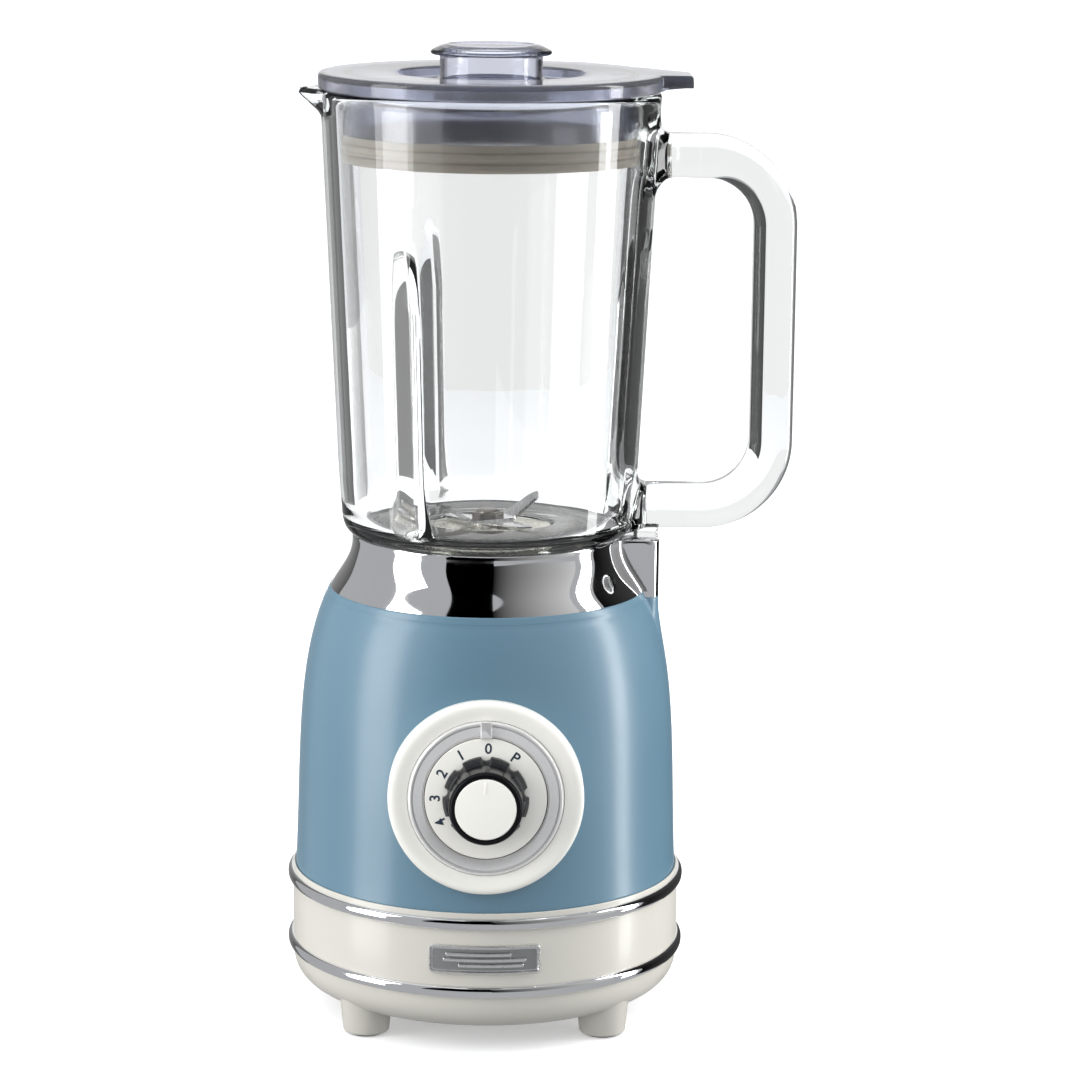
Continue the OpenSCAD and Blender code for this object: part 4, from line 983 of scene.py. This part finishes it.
def drawn_out(bm, edges, move):
    """Extrudes a loop by a transform and gives back the new loop."""
    made = bmesh.ops.extrude_edge_only(bm, edges=edges)["geom"]
    verts = [g for g in made if isinstance(g, bmesh.types.BMVert)]
    bmesh.ops.transform(bm, matrix=move, verts=verts)
    kept = set(verts)
    return [g for g in made if isinstance(g, bmesh.types.BMEdge) and all(v in kept for v in g.verts)]


def swung(bm, edges, centre):
    """Sweeps a loop a quarter turn about a line along Y and gives back the new loop."""
    made = bmesh.ops.spin(
        bm, geom=edges, cent=[c * MM for c in centre], axis=(0, 1, 0), angle=math.pi / 2, steps=20,
        use_merge=False, use_duplicate=False)["geom_last"]
    return [g for g in made if isinstance(g, bmesh.types.BMEdge)]


class BLENDER_OT_blades(bpy.types.Operator):
    """Models the two crossed blades with their teeth, and the nut that holds them"""

    bl_idname = "countertop.blades"
    bl_label = "Blades"

    def execute(self, context):
        s = context.scene.blender_jug
        steel = brushed("Blade_steel", (0.8, 0.8, 0.8), 0.2, (1, 9, 9), height=0.0015, scale=1400)
        reach, lift = mm(s.blade_reach), s.blade_lift
        for name, node, turn, bend in (("Blade_upper", "upper_blade", 26, lift),
                                       ("Blade_lower", "lower_blade", -48, math.radians(-3))):
            blade = self.blade(reach, bend)
            place = Matrix.Translation((0, 0, (low(node, 2) if bend > 0 else high(node, 2) - 1.2) * MM))
            piece(name, blade, steel, "blades", [node], place @ spin(turn))
        nut_z = low("blade_nut", 2)
        nut = lathe([(0, nut_z), (6.5, nut_z), (6.5, nut_z + 2.3, 0.4), (0, nut_z + 2.3)], 6)
        stud = [(0, nut_z + 1), (4.9, nut_z + 1), (4.9, nut_z + 3.0, 0.5), (3.4, nut_z + 3.8, 0.6),
                (0, nut_z + 3.8)]
        join(nut, lathe(stud, 48))
        dark_steel = brushed("Nut_steel", (0.3, 0.27, 0.24), 0.3, (1, 1, 1), height=0.002, scale=1800)
        piece("Blade_nut", nut, dark_steel, "blades", ["blade_nut"])
        return {"FINISHED"}

    def blade(self, reach, bend):
        """Flat blank with a toothed edge on each arm, folded at both ends of its middle."""
        flat, half, thick = 9.0, 6.0, 1.2
        tip = flat + (reach - flat) / math.cos(bend)
        teeth, first, last = 9, flat + 2.4, tip - 3.6
        edge = [(first + (last - first) * i / (2 * teeth), -half + 1.1 + 0.14 * i + (0.8 if i % 2 else 0))
                for i in range(2 * teeth + 1)]
        arm = [(flat, -half), *edge, (tip - 1.6, -0.9), (tip, 1.9), (tip - 1.2, 3.1), (tip - 5, 4.6),
               (flat + 4, half - 0.3), (flat, half)]
        bm = bmesh.new()
        verts = [bm.verts.new((x * MM, y * MM, 0)) for x, y in arm + [(-x, -y) for x, y in arm]]
        bm.faces.new(verts)
        folds = (flat - 0.7, flat, flat + 0.7)
        for side in (-1, 1):
            for fold in folds:
                cut_across(bm, side * fold)
        thickened(bm, thick)
        bmesh.ops.recalc_face_normals(bm, faces=bm.faces)
        for side in (-1, 1):
            for fold in folds:
                arm_verts = [v for v in bm.verts if v.co.x * side > (fold + 0.01) * MM * math.cos(bend * 0.6)]
                bmesh.ops.rotate(
                    bm, verts=arm_verts, cent=(side * fold * MM, 0, 0),
                    matrix=Matrix.Rotation(-side * bend / len(folds), 3, "Y"))
        return bm


class BLENDER_OT_lid(bpy.types.Operator):
    """Models the smoke plastic lid with its tab, the ring seal and the measuring cap"""

    bl_idname = "countertop.lid"
    bl_label = "Lid and cap"

    def execute(self, context):
        s = context.scene.blender_lid
        basin_r, neck_r = mm(s.basin_radius), mm(s.neck_radius)
        hole_r, rim_z, basin_z = neck_r + 0.4, LID_FOOT, LID_TOP - 4
        skirt_r, under = LID_R - 2.5, LID_TOP - 2.5
        plug_r = SEAL_R - 2.2
        seal_top, plug_z = SEAL_Z + 11, SEAL_Z + 1.6
        side = [(LID_R, rim_z + (LID_TOP - 1.5 - rim_z) * t) for t in (1, 0.72, 0.44, 0.2)]
        line = [(hole_r, basin_z, 0.4), (basin_r - 4, basin_z, 0.8), (basin_r, LID_TOP, 0.8),
                (LID_R - 3.4, LID_TOP), (LID_R - 1.5, LID_TOP), (LID_R - 0.7, LID_TOP - 0.25),
                (LID_R - 0.2, LID_TOP - 0.8), *side,
                (LID_R, rim_z + 0.4), (LID_R - 0.4, rim_z), (skirt_r, rim_z, 0.4), (skirt_r, under),
                (SEAL_R - 0.6, under), (SEAL_R - 0.6, seal_top), (plug_r, seal_top), (plug_r, plug_z),
                (plug_r - 2, plug_z),
                (plug_r - 2, under), (basin_r + 2, under), (basin_r - 2.6, basin_z - 2),
                (hole_r + 2, basin_z - 2), (hole_r + 2, basin_z - 9, 0.5), (hole_r, basin_z - 9, 0.5)]

        def with_tab(radius, turn, height):
            inside = min(LID_R - radius, 3.4)
            if radius <= skirt_r + 0.05 and height < LID_TOP - 0.05 or radius < LID_R - 3.5:
                return radius, height
            reach = smooth_max(LID_R, tab_radius(turn), 0.8)
            if reach - LID_R > 0.8 and height < LID_TOP - 5:
                height = LID_TOP - 5
            return reach - inside, height
        lid = reshape(turned(line, ((40, 160), (320, 240)), -20), with_tab)
        smoke = clear_plastic("Smoke_plastic", s.smoke, 130, 0.1, milky=0.08)
        piece("Lid", lid, smoke, "lid", ["lid"])
        groove, land = SEAL_R - 1.0, SEAL_R - 0.1
        seal = [(plug_r - 2, SEAL_Z), (SEAL_R - 0.6, SEAL_Z, 0.3), (SEAL_R, SEAL_Z + 1.2, 0.4),
                (SEAL_R - 0.2, SEAL_Z + 3.2, 0.3), (groove, SEAL_Z + 3.8, 0.2), (groove, SEAL_Z + 4.8, 0.2),
                (land, SEAL_Z + 5.4, 0.3), (land, SEAL_Z + 7.4, 0.3), (groove, SEAL_Z + 8, 0.2),
                (groove, seal_top - 0.5), (SEAL_R - 0.7, seal_top), (plug_r, seal_top), (plug_r, plug_z),
                (plug_r - 2, plug_z)]
        silicone = grained("Seal_silicone", s.seal, 0.5, height=0.01, Subsurface_Weight=0.25,
                           Subsurface_Radius=(0.004, 0.003, 0.002), Subsurface_Scale=0.5)
        piece("Lid_seal", lathe(seal, 160), silicone, "lid", ["lid_gasket"])
        z = CAP_TOP - 4.1
        wall = 1.8
        cap = [(0, z + 0.8), (neck_r - wall, z + 0.8, 0.8), (neck_r - wall, CAP_FOOT, 0.4),
               (neck_r, CAP_FOOT, 0.4), (neck_r, basin_z + 0.2), (neck_r + 1.8, basin_z + 0.2, 0.2),
               (neck_r + 1.4, basin_z + 1.8, 0.3), (neck_r, basin_z + 2.2), (neck_r, z, 0.3),
               (CAP_R - 0.6, z, 0.3), (CAP_R, z + 0.8, 0.4),
               (CAP_R - 0.6, z + 1.7, 0.3),
               *curve((CAP_R - 1, z + 1.9), (CAP_R - 3, z + 2.8), (CAP_R - 5, z + 4.0),
                      (CAP_R - 7, z + 4.1), 8),
               *curve((CAP_R - 7.4, z + 4.0), (CAP_R - 9, z + 3.0), (CAP_R - 15, z + 2.4),
                      (0, z + 2.4), 8)]
        clear = clear_plastic("Cap_plastic", s.smoke, 45, 0.03)
        piece("Measuring_cap", lathe(cap, 128), clear, "cap", ["measuring_cap"])
        return {"FINISHED"}


def tab_radius(turn):
    """Distance from the axis to the outline of the lid's tab: square in front, drawn out behind."""
    if abs(turn) > math.radians(60):
        return 0
    sides = [(LID_REACH, 0), (69.07, math.radians(39.7)), (11, -math.pi / 2)]
    return min(d / math.cos(turn - a) for d, a in sides if math.cos(turn - a) > 0.01)


class BLENDER_OT_inlet(bpy.types.Operator):
    """Models the rubber inlet for the cord at the back of the band"""

    bl_idname = "countertop.inlet"
    bl_label = "Cord inlet"

    def execute(self, context):
        middle = (low("cord_gland", 2) + high("cord_gland", 2)) / 2
        back = high("cord_gland", 1)
        bore_r, neck_r, flange_r = 3.6, 6.5, 8.9
        ring = [(bore_r, back - 11), (neck_r, back - 11), (neck_r, back - 2.3), (flange_r, back - 2.3),
                (flange_r, back - 0.5, 0.5), (6.8, back, 0.3), (5.4, back, 0.2), (5.0, back - 0.5, 0.2),
                (4.6, back, 0.2), (bore_r, back, 0.3)]
        place = Matrix.Translation((0, 0, middle * MM)) @ Matrix.Rotation(-math.pi / 2, 4, "X")
        rubber = grained("Inlet_rubber", (0.025, 0.025, 0.026), 0.6, height=0.02)
        piece("Cord_inlet", lathe(ring, 64), rubber, "base", ["cord_gland"], place)
        return {"FINISHED"}


class BLENDER_OT_inner_finish(bpy.types.Operator):
    """Gives the parts inside the housing and under the jar their finishes"""

    bl_idname = "countertop.inner_finish"
    bl_label = "Inner parts"

    def execute(self, context):
        for mat, nodes in self.finishes():
            for node in nodes:
                for slot in frame["nodes"][node].material_slots:
                    slot.material = mat
        return {"FINISHED"}

    def finishes(self):
        plastic = bpy.data.materials["Dark_plastic"]
        yield plastic, ("jug_seat", "jar_nut", "jar_coupling", "drive_coupling", "fan_shroud",
                        "rotary_switch", "interlock_switch")
        yield bpy.data.materials["Pad_rubber"], ("motor_mounts",)
        zinc = brushed("Zinc_plate", (0.55, 0.55, 0.57), 0.32, (1, 1, 3), height=0.003)
        yield zinc, ("tie_screws", "collar_screws", "motor_screws", "through_bolts", "brush_springs",
                     "blade_washer")
        alloy = grained("Cast_alloy", (0.5, 0.51, 0.53), 0.42, 0.9, grain=700, height=0.05, patch=90)
        yield alloy, ("motor_upper_bracket", "motor_lower_bracket")
        ground = brushed("Ground_steel", (0.6, 0.6, 0.62), 0.2, (1, 1, 0.1), height=0.002, scale=300)
        yield ground, ("upper_bearing", "lower_bearing", "rotor_shaft", "blade_shaft", "knob_spindle")
        sheets = self.striped("Laminated_steel", (0.3, 0.3, 0.31), 0.45, 0.85, {"scale": 400},
                              (0.2, 0.2, 0.21), (0.36, 0.36, 0.37), 0.05)
        yield sheets, ("stator_core", "rotor_core")
        laid = {"scale": 330, "distortion": 1.5, "tilt": math.radians(8)}
        wire = self.striped("Enamelled_wire", (0.4, 0.15, 0.06), 0.28, 0.6, laid,
                            (0.2, 0.06, 0.02), (0.55, 0.24, 0.1), 0.15, coat=0.6)
        yield wire, ("field_coils", "rotor_windings")
        copper = brushed("Copper_bars", (0.62, 0.3, 0.16), 0.28, (1, 1, 12), height=0.004)
        yield copper, ("commutator",)
        brass = brushed("Drawn_brass", (0.6, 0.42, 0.16), 0.32, (6, 1, 1), height=0.003)
        yield brass, ("brush_holders", "blade_bushing")
        carbon = grained("Carbon", (0.03, 0.03, 0.032), 0.55, grain=2600, height=0.02, spread=0.25, patch=800)
        yield carbon, ("carbon_brushes",)
        fan = grained("Fan_plastic", (0.55, 0.54, 0.48), 0.5, height=0.012)
        yield fan, ("cooling_fan",)
        tracks = {"scale": 60, "direction": "X", "profile": "SAW", "distortion": 6.0}
        board = self.striped("Solder_mask", (0.02, 0.14, 0.06), 0.35, 0.0, tracks,
                             (0.012, 0.1, 0.04), (0.03, 0.2, 0.09), 0.02, coat=0.5)
        yield board, ("control_board",)
        yellow = grained("Capacitor", (0.55, 0.4, 0.06), 0.45, height=0.015)
        yield yellow, ("suppression_capacitor",)
        unit = brushed("Unit_metal", (0.8, 0.77, 0.68), 0.26, (1, 1, 1), metallic=0.75, scale=500)
        yield unit, ("blade_base",)
        yield bpy.data.materials["Seal_silicone"], ("jar_gasket",)
        pin = grained("Pin_plastic", (0.62, 0.62, 0.6), 0.35, height=0.008)
        yield pin, ("interlock_pin",)

    def striped(self, name, colour, roughness, metallic, stripes, dark, light, height, coat=0.0):
        """Finish with stripes: stacked sheets, laid wire or tracks."""
        mat = base_material(name, colour, roughness, metallic, Coat_Weight=coat)
        factor = bands(mat, coordinates(mat, turn=(0, stripes.pop("tilt", 0), 0)), **stripes)
        ends = (0.45, 0.55) if stripes.get("profile") == "SAW" else (0.3, 0.7)
        vary_colour(mat, factor, dark, light, *ends)
        emboss(mat, factor, height)
        return mat


FLOOR_HALF = 15                # half the width of the floor, in metres
FLOOR_SHADE = (0.24, 0.24, 0.24)  # the floor's colour where it lights the object
ROOM_LEVEL = 0.45              # brightness of the room in reflections
FILL_LEVEL = 1.1               # brightness of the room on matt surfaces
SOFTBOXES = (                  # name, place, height it faces, width, height, power, seen in reflections
    ("Left_box", (-1.55, -0.56, 0.5), 0.25, 0.8, 1.9, 22, True),
    ("Right_box", (1.5, -0.02, 0.5), 0.25, 0.3, 1.9, 16, True),
    ("Top_box", (-0.2, 0.25, 1.9), 0.1, 1.6, 1.6, 5, True),
    ("Right_fill", (1.3, 0.7, 0.4), 0.15, 0.8, 1.2, 14, False),
    ("Left_fill", (-1.3, 0.7, 0.4), 0.15, 0.8, 1.2, 7, False),
)
CARDS = (                      # name, turn from the front, distance, half width as a turn, foot, top, then
    # brightness at its left and at its right
    ("Back_card", 180, 1.6, 14, -0.6, 2.2, 0.95, 0.95),
    ("Front_dark_card", -14, 0.5, 19, 0.1, 0.9, 0.0, 0.0),
    ("Front_grey_card", 40, 0.75, 36, 0.06, 1.2, 0.0, 0.62),
    ("Right_dark_card", 130, 0.9, 32, -0.5, 1.1, 0.0, 0.08),
    ("Left_dark_card", -148, 0.9, 13, -0.5, 1.1, 0.32, 0.1),
)


class BLENDER_OT_studio(bpy.types.Operator):
    """Sets the floor, the softboxes, the surroundings and the camera"""

    bl_idname = "countertop.studio"
    bl_label = "Studio"

    def execute(self, context):
        s = context.scene.blender_studio
        mat = base_material("Floor_paper", s.floor, 0.8, Specular_IOR_Level=0.2)
        self.paper(mat, s)
        floor = self.sheet("Floor", mat, FLOOR_HALF)
        floor.visible_glossy = floor.visible_shadow = False
        for row in SOFTBOXES:
            self.softbox(*row)
        for row in CARDS:
            self.card(*row)
        self.surroundings(context)
        self.camera(context, s)
        context.scene.view_settings.view_transform = "Standard"
        return {"FINISHED"}

    def sheet(self, name, mat, half):
        """Square sheet of the stage in the XY plane."""
        bm = bmesh.new()
        bmesh.ops.create_grid(bm, x_segments=1, y_segments=1, size=half)
        mesh = bpy.data.meshes.new(name)
        bm.to_mesh(mesh)
        bm.free()
        mesh.materials.append(mat)
        obj = bpy.data.objects.new(name, mesh)
        bpy.context.collection.objects.link(obj)
        return obj

    def paper(self, mat, s):
        """Floor that looks white from in front and through the glass, and lights the object dimly."""
        tree = mat.node_tree
        seen = tree.nodes.new("ShaderNodeLightPath")
        tree.nodes["Principled BSDF"].inputs["Emission Color"].default_value = (1, 1, 1, 1)
        direct = seen.outputs["Is Camera Ray"]
        feed(mat, self.math(tree, "MULTIPLY", direct, 0.35), "Emission Strength")
        through = self.math(tree, "MULTIPLY", seen.outputs["Is Transmission Ray"], 0.8)
        vary_colour(mat, self.math(tree, "MAXIMUM", direct, through), FLOOR_SHADE, s.floor, 0, 1)

    def softbox(self, name, place, target_z, width, height, power, reflected):
        """Lamp behind a white screen, turned to a point on the axis."""
        lamp = bpy.data.lights.new(name, "AREA")
        lamp.shape = "RECTANGLE"
        lamp.size, lamp.size_y = width, height
        lamp.energy = power
        obj = bpy.data.objects.new(name, lamp)
        obj.location = place
        obj.rotation_euler = (Vector((0, 0, target_z)) - Vector(place)).to_track_quat("-Z", "Y").to_euler()
        obj.visible_glossy = obj.visible_transmission = reflected
        bpy.context.collection.objects.link(obj)

    def card(self, name, turn, distance, half_turn, foot, top, left, right):
        """Upright card that only reflections and the glass see, its brightness running from left to right."""
        mat = base_material(name, (0, 0, 0), 1.0, Specular_IOR_Level=0.0)
        mat.node_tree.nodes["Principled BSDF"].inputs["Emission Color"].default_value = (1, 1, 1, 1)
        across = add_node(mat.node_tree, "ShaderNodeSeparateXYZ", "X", Vector=coordinates(mat))
        feed(mat, map_range(mat.node_tree, across, -1, 1, left, right), "Emission Strength")
        obj = self.sheet(name, mat, 1)
        half = math.tan(math.radians(half_turn)) * distance
        obj.matrix_world = (
            spin(turn) @ Matrix.Translation((0, -distance, (foot + top) / 2))
            @ Matrix.Rotation(math.pi / 2, 4, "X") @ Matrix.Diagonal((half, (top - foot) / 2, 1, 1)))
        obj.visible_camera = obj.visible_diffuse = obj.visible_shadow = False

    def surroundings(self, context):
        """Even pale room, a little dimmer in reflections."""
        world = bpy.data.worlds.new("Surroundings")
        context.scene.world = world
        world.use_nodes = True
        tree = world.node_tree
        sky = tree.nodes["Background"]
        seen = tree.nodes.new("ShaderNodeLightPath")
        matt = self.math(tree, "MAXIMUM", seen.outputs["Is Diffuse Ray"], seen.outputs["Is Camera Ray"])
        fill = self.math(tree, "MULTIPLY", matt, FILL_LEVEL)
        link(tree, self.math(tree, "MAXIMUM", fill, ROOM_LEVEL), sky.inputs["Strength"])
        sky.inputs["Color"].default_value = (0.95, 0.97, 1.0, 1)

    def math(self, tree, operation, a, b=None):
        node = tree.nodes.new("ShaderNodeMath")
        node.operation = operation
        for socket, value in zip(node.inputs, (a, b)):
            if isinstance(value, (int, float)):
                socket.default_value = value
            elif value is not None:
                link(tree, value, socket)
        return node.outputs["Value"]

    def camera(self, context, s):
        lens = bpy.data.cameras.new("Camera")
        lens.sensor_width = 36
        lens.lens = s.focal_length
        lens.clip_end = 60
        obj = bpy.data.objects.new("Camera", lens)
        bpy.context.collection.objects.link(obj)
        place = Matrix.Translation((0, -s.distance, s.height))
        turn = (Matrix.Rotation(-s.yaw, 4, "Z") @ Matrix.Rotation(math.pi / 2 - s.pitch, 4, "X")
                @ Matrix.Rotation(s.roll, 4, "Z"))
        obj.matrix_world = place @ turn
        context.scene.camera = obj


class BLENDER_PT_countertop(bpy.types.Panel):
    """Sidebar panel with the settings and the steps"""

    bl_label = "Countertop blender"
    bl_space_type = "VIEW_3D"
    bl_region_type = "UI"
    bl_category = "Blender"

    def draw(self, context):
        for group in SETTINGS:
            box = self.layout.box()
            box.label(text=group[len("blender_"):].capitalize())
            values = getattr(context.scene, group)
            for name in values.__annotations__:
                box.prop(values, name)
        for step in STEPS:
            self.layout.operator(step.bl_idname)


SETTINGS = {
    "blender_housing": HousingSettings, "blender_dial": DialSettings, "blender_jug": JugSettings,
    "blender_lid": LidSettings, "blender_studio": StudioSettings,
}
STEPS = (
    BLENDER_OT_base, BLENDER_OT_badge, BLENDER_OT_shell, BLENDER_OT_dial, BLENDER_OT_jar, BLENDER_OT_blades,
    BLENDER_OT_lid, BLENDER_OT_inlet, BLENDER_OT_inner_finish, BLENDER_OT_studio,
)
CLASSES = (*SETTINGS.values(), *STEPS, BLENDER_PT_countertop)


def register():
    for cls in CLASSES:
        bpy.utils.register_class(cls)
    for name, group in SETTINGS.items():
        setattr(bpy.types.Scene, name, bpy.props.PointerProperty(type=group))


def unregister():
    for name in SETTINGS:
        delattr(bpy.types.Scene, name)
    for cls in reversed(CLASSES):
        bpy.utils.unregister_class(cls)


def main():
    register()
    for step in STEPS:
        category, name = step.bl_idname.split(".")
        getattr(getattr(bpy.ops, category), name)()


if __name__ == "__main__":
    main()
